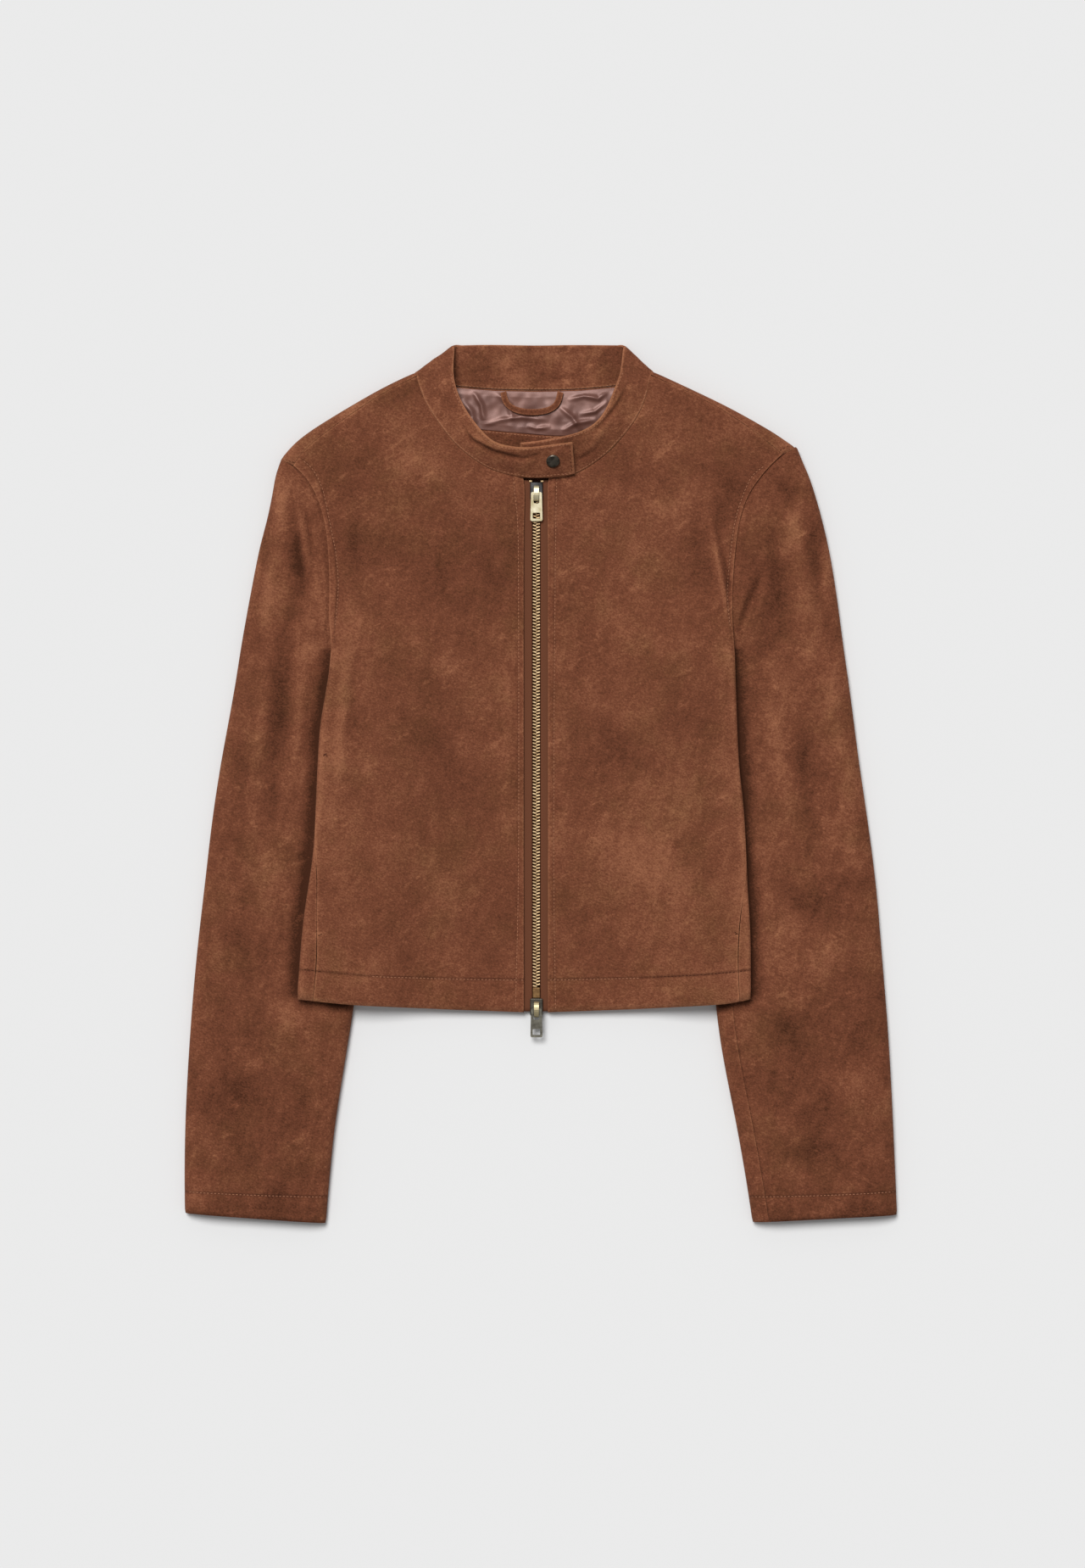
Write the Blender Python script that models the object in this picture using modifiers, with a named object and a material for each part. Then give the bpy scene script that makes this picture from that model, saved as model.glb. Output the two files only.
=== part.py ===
"""A cropped suede zip jacket with a band collar, laid flat on its back.

The tables are in millimetres, as the jacket lies: x to the right and y from hem to collar, seen from
above, and z up from the surface it lies on. Left and right are as seen from above. The sleeves lie on
the surface, and the body's two sides lie over their inner halves.
"""

import math

import bmesh
import bpy
from mathutils import Matrix, Vector

MM = 0.001
GARMENT = "suede_zip_jacket"

# Thicknesses and gaps
SUEDE = 1.4          # one thickness of suede
BAND_PLY = 0.9       # the collar's suede, shaved thin because it is doubled
BAND_GAP = 0.3       # between the collar's two plies
SATIN = 1.0
TAPE = 1.0
GAP = 0.3            # between two pieces at a seam
FOLD_GAP = 0.8       # and at a seam that lies on a fold, where the walls' inner faces come closer

# Heights of the upper faces above the surface
SLEEVE_TOP = 12.5    # the flattened sleeves, away from their folds
SHOULDER_FOLD = 6.25 # radius of the fold along the shoulders, or less where the seam is nearer
SIDE_FOLD = 3.2      # radius of the body's side folds
SIDE_LIFT = 7.1      # what the body's sides rise to lie over the sleeves
MIDDLE_LIFT = 1.5    # the loft of the fronts beside the zip
HEM_DIP = 6.5        # how far the fronts sink towards the back at the middle of the hem

# Where the sleeves' seams run, measured over the cloth from the nearest fold
OUTER_SEAM = 16.0    # the elbow seam, on the underside, from the outer fold
FOLD_STRIP = 10.0    # the width beside a fold or an armhole that gets closer rows
EDGE_STEP = 0.5      # the last of those rows, beside the edge itself
UNDERARM_SEAM = 1.5  # how far the side seam lies over the cloth from the body's fold, at the underarm
UNDERARM_EASE = 0.9  # how much further apart the pieces lie where the side seams and inner seams start

# One row for each section of a sleeve, from the shoulder to the cuff: the outer fold, the end of the
# upper ply and the end of the under ply. Down to "underarm" the plies end at the armhole seam, and
# from "elbow" on both end at the inner fold. "fold" is the radius of the outer fold.
SLEEVE_COLUMNS = ("outer_x", "outer_y", "upper_x", "upper_y", "under_x", "under_y", "fold")
LEFT_SLEEVE = (
    (-209.6, 260.2, -199.2, 255.6, -199.2, 255.6, 6.0),
    (-213.9, 248.2, -188.7, 246.0, -186.0, 239.0, 5.6),
    (-216.9, 231.5, -179.9, 231.0, -175.8, 221.3, 5.2),
    (-221.3, 211.1, -174.4, 213.0, -169.7, 200.9, 4.8),
    (-226.8, 190.7, -171.4, 194.1, -166.3, 180.5, 4.4),
    (-232.9, 160.1, -169.7, 160.1, -157.5, 152.0, 4.0),
    (-238.3, 131.0, -170.0, 131.0, -136.0, 124.5, 4.0),
    (-242.1, 109.0, -168.5, 109.8, -97.5, 109.2, 4.0),
    (-245.8, 85.3, -128.0, 85.3, -107.8, 82.0, 4.0),
    (-250.9, 56.0, -111.9, 51.3, -111.9, 51.3, 4.0),
    (-257.6, 20.0, -118.0, 16.0, -118.0, 16.0, 4.0),
    (-264.9, -27.0, -126.1, -33.7, -126.1, -33.7, 4.0),
    (-271.0, -80.0, -135.7, -88.1, -135.7, -88.1, 4.0),
    (-277.8, -139.1, -145.2, -145.9, -145.2, -145.9, 4.0),
    (-283.2, -205.0, -154.7, -207.1, -154.7, -207.1, 4.0),
    (-286.6, -268.3, -164.9, -269.6, -164.9, -269.6, 4.0),
    (-287.3, -315.9, -170.0, -319.3, -170.0, -319.3, 4.0),
    (-287.0, -343.7, -172.6, -351.9, -172.6, -351.9, 3.6),
)
RIGHT_SLEEVE = (
    (206.4, 269.4, 193.8, 264.5, 193.8, 264.5, 6.0),
    (211.1, 258.1, 183.9, 256.0, 181.2, 248.5, 5.6),
    (216.9, 244.5, 173.1, 243.1, 170.3, 231.5, 5.2),
    (223.4, 223.4, 164.2, 228.0, 164.2, 213.2, 4.8),
    (229.5, 199.6, 158.1, 206.4, 160.1, 190.7, 4.4),
    (234.9, 172.4, 154.4, 172.4, 154.5, 160.1, 4.0),
    (239.7, 139.7, 153.0, 140.5, 135.5, 126.0, 4.0),
    (243.4, 111.2, 155.1, 110.5, 97.5, 109.2, 4.0),
    (247.2, 85.3, 126.8, 85.3, 107.8, 82.0, 4.0),
    (251.3, 54.7, 111.9, 51.3, 111.9, 51.3, 4.0),
    (256.0, 18.0, 117.3, 16.0, 117.3, 16.0, 4.0),
    (262.8, -28.0, 123.4, -33.7, 123.4, -33.7, 4.0),
    (269.6, -80.0, 130.2, -88.1, 130.2, -88.1, 4.0),
    (274.4, -137.0, 136.5, -145.9, 136.5, -145.9, 4.0),
    (279.8, -203.7, 143.1, -207.0, 143.1, -207.0, 4.0),
    (283.2, -268.3, 155.7, -270.5, 155.7, -270.5, 4.0),
    (285.3, -315.9, 164.2, -319.0, 164.2, -319.0, 4.0),
    (286.6, -345.1, 169.0, -351.2, 169.0, -351.2, 3.6),
)
CAP_ROWS = 8         # rows of a sleeve from the shoulder to the underarm
OPEN_ROWS = 9        # rows whose upper ply has no inner fold

# How far each sleeve's inner seam lies past the inner fold, over the cloth, at the cuff: below zero on
# the underside, above zero on top, where the right sleeve shows it.
FIRST_INNER_CURL = -4.0  # where the under ply ends just below the underarm
FIRST_INNER_SEAM = 2.0   # and where both plies meet, one section further down
LEFT_INNER_SEAM = -9.0
RIGHT_INNER_SEAM = 16.0

# One row for each level of the body's sides below the underarm: the height y, then for each side the
# fold's x and how far the side seam lies over the cloth from the fold, above zero on top.
SIDE_COLUMNS = ("y", "left_fold", "left_seam", "right_fold", "right_seam")
BODY_SIDES = (
    (94.0, -169.4, 0.0, 155.4, 0.0),
    (70.0, -173.5, -1.5, 156.4, -1.5),
    (45.0, -177.6, -2.0, 157.3, -2.0),
    (15.0, -179.3, -1.5, 158.8, -2.0),
    (-15.0, -180.4, 0.0, 162.0, -1.0),
    (-45.0, -182.3, 2.5, 163.8, 0.5),
    (-75.0, -185.8, 8.5, 165.8, 3.0),
    (-105.0, -190.9, 13.0, 167.8, 10.5),
    (-140.0, -194.0, 16.5, 168.3, 13.0),
    (-171.5, -195.9, 15.0, 168.3, 11.3),
)

# One row for each point along a shoulder, from the armhole to the neck: the fold seen from above, the
# shoulder seam on the front, and how far the back's shoulder strip reaches on the underside.
SHOULDER_COLUMNS = ("fold_x", "fold_y", "seam_x", "seam_y", "under")
LEFT_SHOULDER = (
    (-209.8, 260.9, -198.9, 256.0, 12.0),
    (-198.2, 275.4, -190.5, 268.5, 15.0),
    (-180.0, 288.2, -175.0, 281.0, 15.0),
    (-155.0, 303.2, -151.0, 298.4, 14.0),
    (-127.8, 319.0, -125.0, 315.2, 10.0),
    (-102.3, 330.8, -100.3, 327.1, 6.3),
)
RIGHT_SHOULDER = (
    (205.4, 270.0, 193.5, 265.0, 12.6),
    (189.7, 281.2, 182.0, 274.4, 15.0),
    (178.0, 288.2, 173.2, 281.9, 15.0),
    (152.0, 302.8, 149.2, 298.6, 14.0),
    (124.0, 316.0, 122.2, 313.2, 10.0),
    (90.8, 331.5, 89.0, 327.7, 6.3),
)

# The hem's lower edge, from side to side.
HEM = ((-195.9, -171.5), (-151.0, -176.3), (-80.0, -180.0), (-4.0, -183.0), (80.0, -179.8), (146.5, -175.6),
       (168.3, -171.5))

# One row for each station of the collar band: the point on the neck seam and the one on the free edge.
BAND_COLUMNS = ("seam_x", "seam_y", "seam_z", "free_x", "free_y", "free_z")
LEFT_BAND = (
    (26.9, 249.0, 16.9, 24.8, 273.3, 28.4),
    (17.0, 247.2, 17.0, 16.8, 272.2, 28.8),
    (7.0, 246.2, 16.9, 8.2, 271.0, 29.0),
    (-4.0, 245.6, 16.0, -4.0, 269.4, 28.8),
    (-13.9, 246.1, 14.2, -14.5, 268.5, 28.2),
    (-32.3, 249.9, 13.3, -31.0, 270.6, 26.2),
    (-45.9, 255.3, 13.2, -41.8, 275.7, 24.4),
    (-63.2, 267.6, 12.9, -52.7, 288.7, 21.6),
    (-75.1, 279.8, 12.6, -60.2, 299.5, 19.2),
    (-91.5, 302.9, 12.2, -67.9, 315.0, 15.8),
    (-97.6, 317.5, 12.0, -71.2, 331.5, 12.6),
)
RIGHT_BAND = (
    (85.6, 315.5, 12.1, 64.3, 331.5, 12.6),
    (80.6, 300.9, 12.3, 59.2, 318.5, 15.2),
    (73.1, 288.7, 12.6, 52.7, 301.4, 18.4),
    (64.9, 278.5, 12.8, 45.5, 290.6, 20.8),
    (55.4, 267.9, 13.0, 36.0, 284.0, 22.8),
    (43.2, 258.1, 13.2, 26.0, 280.0, 24.4),
    (27.0, 248.5, 13.3, 15.5, 277.6, 25.8),
    (16.0, 246.4, 13.3, 8.0, 276.2, 26.0),
    (5.4, 245.9, 13.2, 0.0, 274.6, 26.0),
    (-6.0, 247.2, 11.6, -8.5, 273.6, 25.2),
    (-16.7, 247.6, 10.6, -16.7, 273.0, 24.4),
)
# The band's two top corners: the fold's outer points at the seam and at the free edge.
LEFT_CORNER = ((-102.3, 330.8), (-71.1, 353.3))
RIGHT_CORNER = ((90.8, 331.5), (67.7, 352.8))
CORNER_FREE_FOLD = 4.75
CORNER_ANGLES = (68, 34, 0, -34, -68, -90)
# The back of the neck: the seam, and the free edge above it.
BACK_NECK = ((-70.0, 320.4), (-38.0, 317.9), (-5.0, 317.2), (30.0, 317.9), (61.0, 320.6))
BACK_FREE = ((-48.0, 353.9), (-26.0, 353.7), (-2.0, 353.2), (22.0, 353.8), (46.0, 353.6))
BAND_ACROSS = 5      # points from the seam to the free edge
BAND_BOW = 1.2       # how far the standing band curves outwards between its edges

# The zip, down the middle of the front
ZIP_X = -3.85
CHAIN_WIDTH = 5.9
CHAIN_DEPTH = 2.6
CHAIN_SINK = 1.2     # how far the teeth lie below the suede's face
TAPE_SINK = 2.0
LEFT_FRONT_EDGE = -13.9
RIGHT_FRONT_EDGE = 5.4
LEFT_TAPE = (-26.0, -7.1)
RIGHT_TAPE = (-0.6, 17.5)
TAPE_TOP = 244.2
TAPE_BOTTOM = -182.0
TOP_HINGE_Y = 233.6
BOTTOM_HINGE_Y = -180.2
PIN_LENGTH = 8.5
SLIDER_WIDTH = 10.2
SLIDER_AHEAD = 8.7   # from the pull's hinge to the slider's end towards the collar
SLIDER_BEHIND = 5.0
PLATE_UPPER = (-1.6, 0.4)   # the slider's two plates, from the suede's face
PLATE_LOWER = (-5.2, -3.5)
HINGE_RISE = 1.35    # from the slider's upper plate to the pull's hinge
PULL_WIDTH = 9.8
PULL_HEAD_WIDTH = 8.6
PULL_LENGTH = 23.2
PULL_THICKNESS = 1.6
CROSSBAR = 1.6
SLOT = (4.6, 7.6)    # the pull's slot, which the slider's bail passes through
PULL_HOLE = (6.0, 4.8)
BAIL_WIDTH = 3.9
BAIL_REACH = 6.0
BAIL_HEIGHT = 3.3
BAIL_WALL = 1.0
TOP_PULL_DROOP = 3.5
BOTTOM_PULL_DROOP = 3.5

# The snap cap on the tab
SNAP_X = 9.4
SNAP_ACROSS = 0.52   # how far up the band it sits, from the seam to the free edge
SNAP_RADIUS = 5.4
SNAP_HEIGHT = 1.5

# What shows inside the neck
LINING_LEFT = -80.0
LINING_RIGHT = 70.0
FACING_TOP = ((-66.0, 286.0), (-48.6, 285.3), (-20.0, 282.8), (6.5, 280.5), (52.0, 279.5))
FACING_BOTTOM = 238.0
LOOP_PATH = ((-30.5, 315.6), (-28.0, 306.5), (-20.0, 301.0), (-7.0, 299.2), (6.0, 301.0), (13.0, 306.5),
             (15.5, 315.6))
LOOP_WIDTH = 4.8
LOOP_WALL = 1.2
LOOP_BASE = 4.2


def clear_scene():
    """Empties the file of its starting objects."""
    for thing in list(bpy.data.objects):
        bpy.data.objects.remove(thing, do_unlink=True)


def make_collection(name):
    """Adds a collection to the scene."""
    collection = bpy.data.collections.new(name)
    bpy.context.scene.collection.children.link(collection)
    return collection


def make_material(name, colour, roughness, metallic=0.0):
    """Makes a plain principled material."""
    material = bpy.data.materials.new(name)
    material.use_nodes = True
    shader = material.node_tree.nodes["Principled BSDF"]
    shader.inputs["Base Color"].default_value = (*colour, 1.0)
    shader.inputs["Roughness"].default_value = roughness
    shader.inputs["Metallic"].default_value = metallic
    return material


# Small geometry

def ease(amount):
    """Goes from 0 to 1 with a soft start and end."""
    amount = min(max(amount, 0.0), 1.0)
    return amount * amount * (3 - 2 * amount)


def spread(start, end, count):
    """Evenly spaced values, both ends included."""
    return [start + (end - start) * step / (count - 1) for step in range(count)]


def toward_edge(first, last, count):
    """Evenly spaced travels, with a short last step so that the wall ends square to the cloth."""
    step = EDGE_STEP if first > last else -EDGE_STEP
    return spread(first, last + step, count - 1) + [last]


def read_line(points, x):
    """Reads y at x on a line through points whose x rises or falls."""
    points = sorted(points)
    for (x0, y0), (x1, y1) in zip(points, points[1:]):
        if x <= x1:
            break
    part = min(max((x - x0) / (x1 - x0), 0.0), 1.0)
    return y0 + (y1 - y0) * part


def across_fold(radius, travel):
    """Gives the inset from a fold and the drop from its upper side.

    Travel is measured over the cloth from the fold's outermost line, above zero on the upper side.
    """
    quarter = radius * math.pi / 2
    if travel >= quarter:
        return travel - quarter + radius, 0.0
    if travel <= -quarter:
        return -travel - quarter + radius, 2 * radius
    angle = travel / radius
    return radius * (1 - math.cos(angle)), radius * (1 - math.sin(angle))


def coons(bottom, top, left, right):
    """Fills four edges with rows of points, from the bottom row to the top one."""
    across = len(bottom) - 1
    up = len(left) - 1
    rows = []
    for j in range(up + 1):
        v = j / up
        row = []
        for i in range(across + 1):
            u = i / across
            ruled = bottom[i] * (1 - v) + top[i] * v + left[j] * (1 - u) + right[j] * u
            corners = (bottom[0] * (1 - u) + bottom[-1] * u) * (1 - v) + (top[0] * (1 - u) + top[-1] * u) * v
            row.append(ruled - corners)
        rows.append(row)
    return rows


# The form of the laid jacket

def sleeve_table(side):
    """The rows of one sleeve as dictionaries."""
    rows = LEFT_SLEEVE if side < 0 else RIGHT_SLEEVE
    return [dict(zip(SLEEVE_COLUMNS, row)) for row in rows]


def side_table(side):
    """The rows of one body side: height, fold and seam, from the underarm to the hem."""
    prefix = "left" if side < 0 else "right"
    rows = [dict(zip(SIDE_COLUMNS, row)) for row in BODY_SIDES]
    return [(row["y"], row[prefix + "_fold"], row[prefix + "_seam"]) for row in rows]


def side_gap(seam):
    """The gap at the body's side seam, from how far it lies over the fold."""
    return GAP if seam > SIDE_FOLD * math.pi / 2 + 1 else FOLD_GAP


def shoulder_table(side):
    """The rows of one shoulder as fold point, seam point and reach of the strip on the underside."""
    rows = LEFT_SHOULDER if side < 0 else RIGHT_SHOULDER
    rows = [dict(zip(SHOULDER_COLUMNS, row)) for row in rows]
    return [(Vector((row["fold_x"], row["fold_y"])), Vector((row["seam_x"], row["seam_y"])), row["under"])
            for row in rows]


def inner_fold(side, y):
    """Distance of a sleeve's inner fold from the middle, at a height."""
    rows = sleeve_table(side)[OPEN_ROWS - 1:]
    line = [(row["under_y"], abs(row["under_x"])) for row in rows]
    return read_line(line, y)


def body_top(x, y):
    """Height of the fronts' upper face, before their edges turn down."""
    reach = abs(x)
    side = -1 if x < 0 else 1
    over_sleeve = ease((reach - inner_fold(side, y) + 60) / 55) * ease((160 - y) / 50)
    middle = ease(1 - reach / 150)
    dip = ease((-50 - y) / 130) * ease(1 - reach / 140)
    return SLEEVE_TOP + MIDDLE_LIFT * middle + SIDE_LIFT * over_sleeve - HEM_DIP * dip


def hem_point(x):
    """The hem's edge at x."""
    return Vector((x, read_line(HEM, x)))


# Making solids from rows of points

def add_mesh(name, points, faces, material, collection):
    """Adds one mesh object, with its points given in millimetres."""
    mesh = bpy.data.meshes.new(name)
    mesh.from_pydata([Vector(point) * MM for point in points], [], faces)
    mesh.materials.append(material)
    mesh.shade_smooth()
    thing = bpy.data.objects.new(name, mesh)
    collection.objects.link(thing)
    return thing


def quilt(grids, flip):
    """Joins grids of rows into one list of points and faces, and merges the rows they share."""
    mesh = bmesh.new()
    for rows in grids:
        lines = [[mesh.verts.new(point) for point in row] for row in rows]
        for lower, upper in zip(lines, lines[1:]):
            for a, b, c, d in zip(lower, lower[1:], upper[1:], upper):
                mesh.faces.new((a, d, c, b) if flip else (a, b, c, d))
    bmesh.ops.remove_doubles(mesh, verts=mesh.verts[:], dist=0.01)
    mesh.verts.index_update()
    points = [vert.co.copy() for vert in mesh.verts]
    faces = [[vert.index for vert in face.verts] for face in mesh.faces]
    mesh.free()
    return points, faces


def solidify(thing, thickness, offset):
    """Gives an open surface its wall."""
    wall = thing.modifiers.new("wall", "SOLIDIFY")
    wall.thickness = thickness * MM
    wall.offset = offset
    wall.use_rim = True
    return thing


def cloth(name, grids, flip, thickness, material, collection, offset=-1.0):
    """Makes one piece of cloth whose outer face is the given surface."""
    points, faces = quilt(grids, flip)
    thing = add_mesh(name, points, faces, material, collection)
    solidify(thing, thickness, offset)
    facets = thing.modifiers.new("facets", "TRIANGULATE")
    facets.quad_method = "SHORTEST_DIAGONAL"
    return thing


# Sleeves

def sleeve_rise(row, inset, from_inner):
    """How far the sleeve's upper ply stands above its outer fold."""
    def puff(distance):
        return 1 - (1 - min(distance / 40, 1.0)) ** 4

    rise = (SLEEVE_TOP - 2 * row["fold"]) * puff(inset)
    return rise if from_inner is None else rise * puff(from_inner)


def inner_seam(side, index):
    """Travel of the inner seam over the inner fold, at one row of the sleeve."""
    last = LEFT_INNER_SEAM if side < 0 else RIGHT_INNER_SEAM
    if index < OPEN_ROWS:
        return FIRST_INNER_CURL
    return FIRST_INNER_SEAM + (last - FIRST_INNER_SEAM) * ease((index - OPEN_ROWS) / 4)


def elbow_seam(row):
    """How far the elbow seam lies from the outer fold's flat edge, on the underside."""
    width = Vector((row["under_x"] - row["outer_x"], row["under_y"] - row["outer_y"])).length
    return min(OUTER_SEAM, 0.5 * (width - row["fold"]))


def sleeve_upper_row(side, index, row):
    """One section of the upper ply, from the elbow seam over the top to the inner seam."""
    outer = Vector((row["outer_x"], row["outer_y"]))
    end = Vector((row["upper_x"], row["upper_y"]))
    below = (Vector((row["under_x"], row["under_y"])) - outer).normalized()
    width = (end - outer).length
    above = (end - outer).normalized()
    radius = row["fold"]
    closed = index >= OPEN_ROWS
    quarter = radius * math.pi / 2
    points = []
    for travel in spread(-quarter - elbow_seam(row), quarter + min(2.0, 0.1 * width), 9):
        inset, drop = across_fold(radius, travel)
        plan = outer + (above if travel > 0 else below) * inset
        rise = sleeve_rise(row, inset, None) if travel > 0 else 0.0
        points.append((plan.x, plan.y, 2 * radius - drop + rise))
    strip = min(FOLD_STRIP, 0.2 * width)
    seam_height = body_top(end.x, end.y)
    flush = ease((end.y - 112) / 15)

    def top_point(inset, drop):
        from_inner = width - inset
        rise = sleeve_rise(row, inset, from_inner if closed else None)
        height = 2 * radius + rise
        if not closed:
            height += (seam_height - height) * flush * ease(1 - from_inner / 28)
        plan = outer + above * inset
        return (plan.x, plan.y, height - drop)

    inner_radius = radius if closed else 0.0
    last = inner_seam(side, index) if closed else GAP / 2
    first = max(inner_radius * math.pi / 2 + strip, last + strip)
    travels = toward_edge(first, last, 9)
    edge = [across_fold(inner_radius, travel) for travel in travels]
    middle = spread(radius + min(2.0, 0.1 * width), width - edge[0][0], 9)[1:-1]
    points += [top_point(inset, 0.0) for inset in middle]
    for travel, (inset, drop) in zip(travels, edge):
        if travel < 0:
            plan = end - above * inset
            points.append((plan.x, plan.y, 2 * radius - drop))
        else:
            points.append(top_point(width - inset, drop))
    return points


def sleeve_under_row(side, index, row):
    """One section of the under ply, from the elbow seam to the inner seam or the back armhole."""
    outer = Vector((row["outer_x"], row["outer_y"]))
    end = Vector((row["under_x"], row["under_y"]))
    width = (end - outer).length
    inward = (end - outer).normalized()
    radius = row["fold"]
    closed = index >= CAP_ROWS
    start = radius + elbow_seam(row) + GAP
    strip = min(FOLD_STRIP, 0.5 * (width - start))
    points = []
    if closed:
        last = inner_seam(side, index) - GAP - UNDERARM_EASE * (1 - ease((index - OPEN_ROWS) / 2))
        travels = toward_edge(-radius * math.pi / 2 - strip, last, 9)
        edge = [across_fold(radius, travel) for travel in travels]
    else:
        travels = spread(-strip, -GAP / 2, 9)
        edge = [(-travel, 2 * radius) for travel in travels]
    for inset in spread(start, width - edge[0][0], 7)[:-1]:
        plan = outer + inward * inset
        points.append((plan.x, plan.y, 0.0))
    for travel, (inset, drop) in zip(travels, edge):
        plan = end - inward * inset
        rise = sleeve_rise(row, width - inset, inset) if travel > 0 else 0.0
        points.append((plan.x, plan.y, 2 * radius - drop + rise))
    return points


def add_sleeve(side, material, collection):
    """Adds the two pieces of one sleeve."""
    name = "sleeve_left" if side < 0 else "sleeve_right"
    rows = list(enumerate(sleeve_table(side)))
    upper = [sleeve_upper_row(side, index, row) for index, row in rows]
    under = [sleeve_under_row(side, index, row) for index, row in rows]
    cloth(name + "_upper", [upper], side < 0, SUEDE, material, collection)
    cloth(name + "_under", [under], side > 0, SUEDE, material, collection)


# Body

def armhole_inward(side, points, index):
    """Direction from the front armhole into the front panel, square to the seam."""
    before = points[max(index - 1, 0)]
    after = points[min(index + 1, len(points) - 1)]
    along = (after - before).normalized()
    across = Vector((-along.y, along.x))
    return across if across.x * side < 0 else -across


def front_edge_rows(side):
    """The outer edge of a front, hem to shoulder: point, direction inwards, fold radius, end of travel."""
    inward = Vector((-side, 0.0))
    rows = []
    for y, fold, seam in reversed(side_table(side)):
        rows.append((Vector((fold, y)), inward, SIDE_FOLD, seam + side_gap(seam) / 2))
    armhole = [Vector((row["upper_x"], row["upper_y"])) for row in sleeve_table(side)[:CAP_ROWS]]
    shoulder = shoulder_table(side)
    for index in reversed(range(CAP_ROWS)):
        radius = SIDE_FOLD * ease((122 - armhole[index].y) / 10)
        if index == CAP_ROWS - 1:
            rows.append((armhole[index], inward, radius, UNDERARM_SEAM + FOLD_GAP / 2))
        elif index == 0:
            rows.append((shoulder[0][1], (shoulder[1][1] - shoulder[0][1]).normalized(), 0.0, GAP / 2))
        else:
            rows.append((armhole[index], armhole_inward(side, armhole, index), 0.0, GAP / 2))
    return rows


def front_neck(side):
    """The neck edge of a front, from the zip to the shoulder, just clear of the collar."""
    if side < 0:
        stations = LEFT_BAND[4:]
    else:
        stations = tuple(reversed(RIGHT_BAND[:9]))
    points = []
    for row in stations:
        seam = Vector(row[0:2])
        free = Vector(row[3:5])
        points.append(seam - (free - seam).normalized() * (GAP / 2 + 0.1))
    edge = LEFT_FRONT_EDGE if side < 0 else RIGHT_FRONT_EDGE
    points[0].x = edge
    return points


def add_front(side, material, collection):
    """Adds one front panel, from the zip round the side fold to the side seam."""
    edge_x = LEFT_FRONT_EDGE if side < 0 else RIGHT_FRONT_EDGE
    edges = front_edge_rows(side)
    strip = []
    for point, inward, radius, last in edges:
        row = []
        first = max(radius * math.pi / 2, last) + FOLD_STRIP
        for travel in toward_edge(first, last, 9):
            inset, drop = across_fold(radius, travel)
            plan = point + inward * inset
            row.append((plan.x, plan.y, body_top(plan.x, plan.y) - drop))
        strip.append(row)
    outer = [Vector(row[0][0:2]) for row in strip]
    neck = front_neck(side)
    shoulder = shoulder_table(side)
    seam = [point + (point - fold).normalized() * (GAP / 2) for fold, point, under in shoulder]
    corners = list(reversed(seam[1:])) + [outer[-1]]
    top = [corners[0]]
    for start, end in zip(corners, corners[1:]):
        top += [(start + end) / 2, end]
    bottom = [hem_point(x) for x in spread(edge_x, outer[0].x, len(top))]
    bottom[-1] = outer[0]
    levels = len(outer) - len(neck)
    centre = [Vector((edge_x, y)) for y in spread(bottom[0].y, neck[0].y, levels)]
    plan = coons(bottom, top, centre + neck[1:] + [corners[0]], outer)
    panel = [[(point.x, point.y, body_top(point.x, point.y)) for point in row] for row in plan]
    name = "front_left" if side < 0 else "front_right"
    cloth(name, [panel, strip], side < 0, SUEDE, material, collection)


def climb_share(share):
    """The back's rise over the edge of a sleeve, quick at first and level at the end."""
    share = min(share, 1.0)
    return 0.35 * ease(share) + 0.65 * math.sin(share * math.pi / 2)


def wing_rows(side):
    """The back's side part: up from the floor, over the sleeve, round the side fold to the side seam."""
    rows = []
    levels = [(y, fold, seam) for y, fold, seam in side_table(side)]
    top_fold = sleeve_table(side)[CAP_ROWS - 1]["upper_x"]
    levels.insert(0, (108.5, top_fold, UNDERARM_SEAM - UNDERARM_EASE))
    wing = SLEEVE_TOP + SIDE_LIFT - 2 * SIDE_FOLD
    for index, (y, fold, seam) in enumerate(levels):
        inner = inner_fold(side, y) if index else 105.0
        row = []
        climb = spread(inner - 11, inner + 11, 7)
        travels = toward_edge(-SIDE_FOLD * math.pi / 2 - 3, seam - side_gap(seam) / 2, 9)
        edge = [across_fold(SIDE_FOLD, travel) for travel in travels]
        flat = spread(inner + 11, abs(fold) - edge[0][0], 4)[1:-1]
        for reach in climb + flat:
            height = wing * climb_share((reach - inner + 11) / 22)
            row.append([side * reach, y, height])
        for inset, drop in edge:
            row.append([fold - side * inset, y, wing + 2 * SIDE_FOLD - drop])
        if index == 0:
            for point in row:
                from_floor = abs(point[0]) - (inner - 11)
                from_side = abs(fold) - abs(point[0])
                point[1] -= 5 * min(ease(from_floor / 14), ease(from_side / 14))
        if index == len(levels) - 1:
            for point in row:
                point[1] = hem_point(point[0]).y + 0.6
        rows.append(row)
    return rows


def shoulder_row(fold, seam, under):
    """One section of the back's shoulder strip, from the underside round the fold to the seam."""
    inward = (seam - fold).normalized()
    end = (seam - fold).length - GAP / 2
    depth = min(SHOULDER_FOLD, end - 2 * EDGE_STEP)
    row = [(under.x, under.y, 0.0)]
    for angle in spread(-math.pi / 2, math.pi / 2, 7):
        plan = fold + inward * depth * (1 - math.cos(angle))
        row.append((plan.x, plan.y, body_top(plan.x, plan.y) * (1 + math.sin(angle)) / 2))
    for inset in (end - EDGE_STEP, end):
        plan = fold + inward * inset
        row.append((plan.x, plan.y, body_top(plan.x, plan.y)))
    return row


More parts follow.
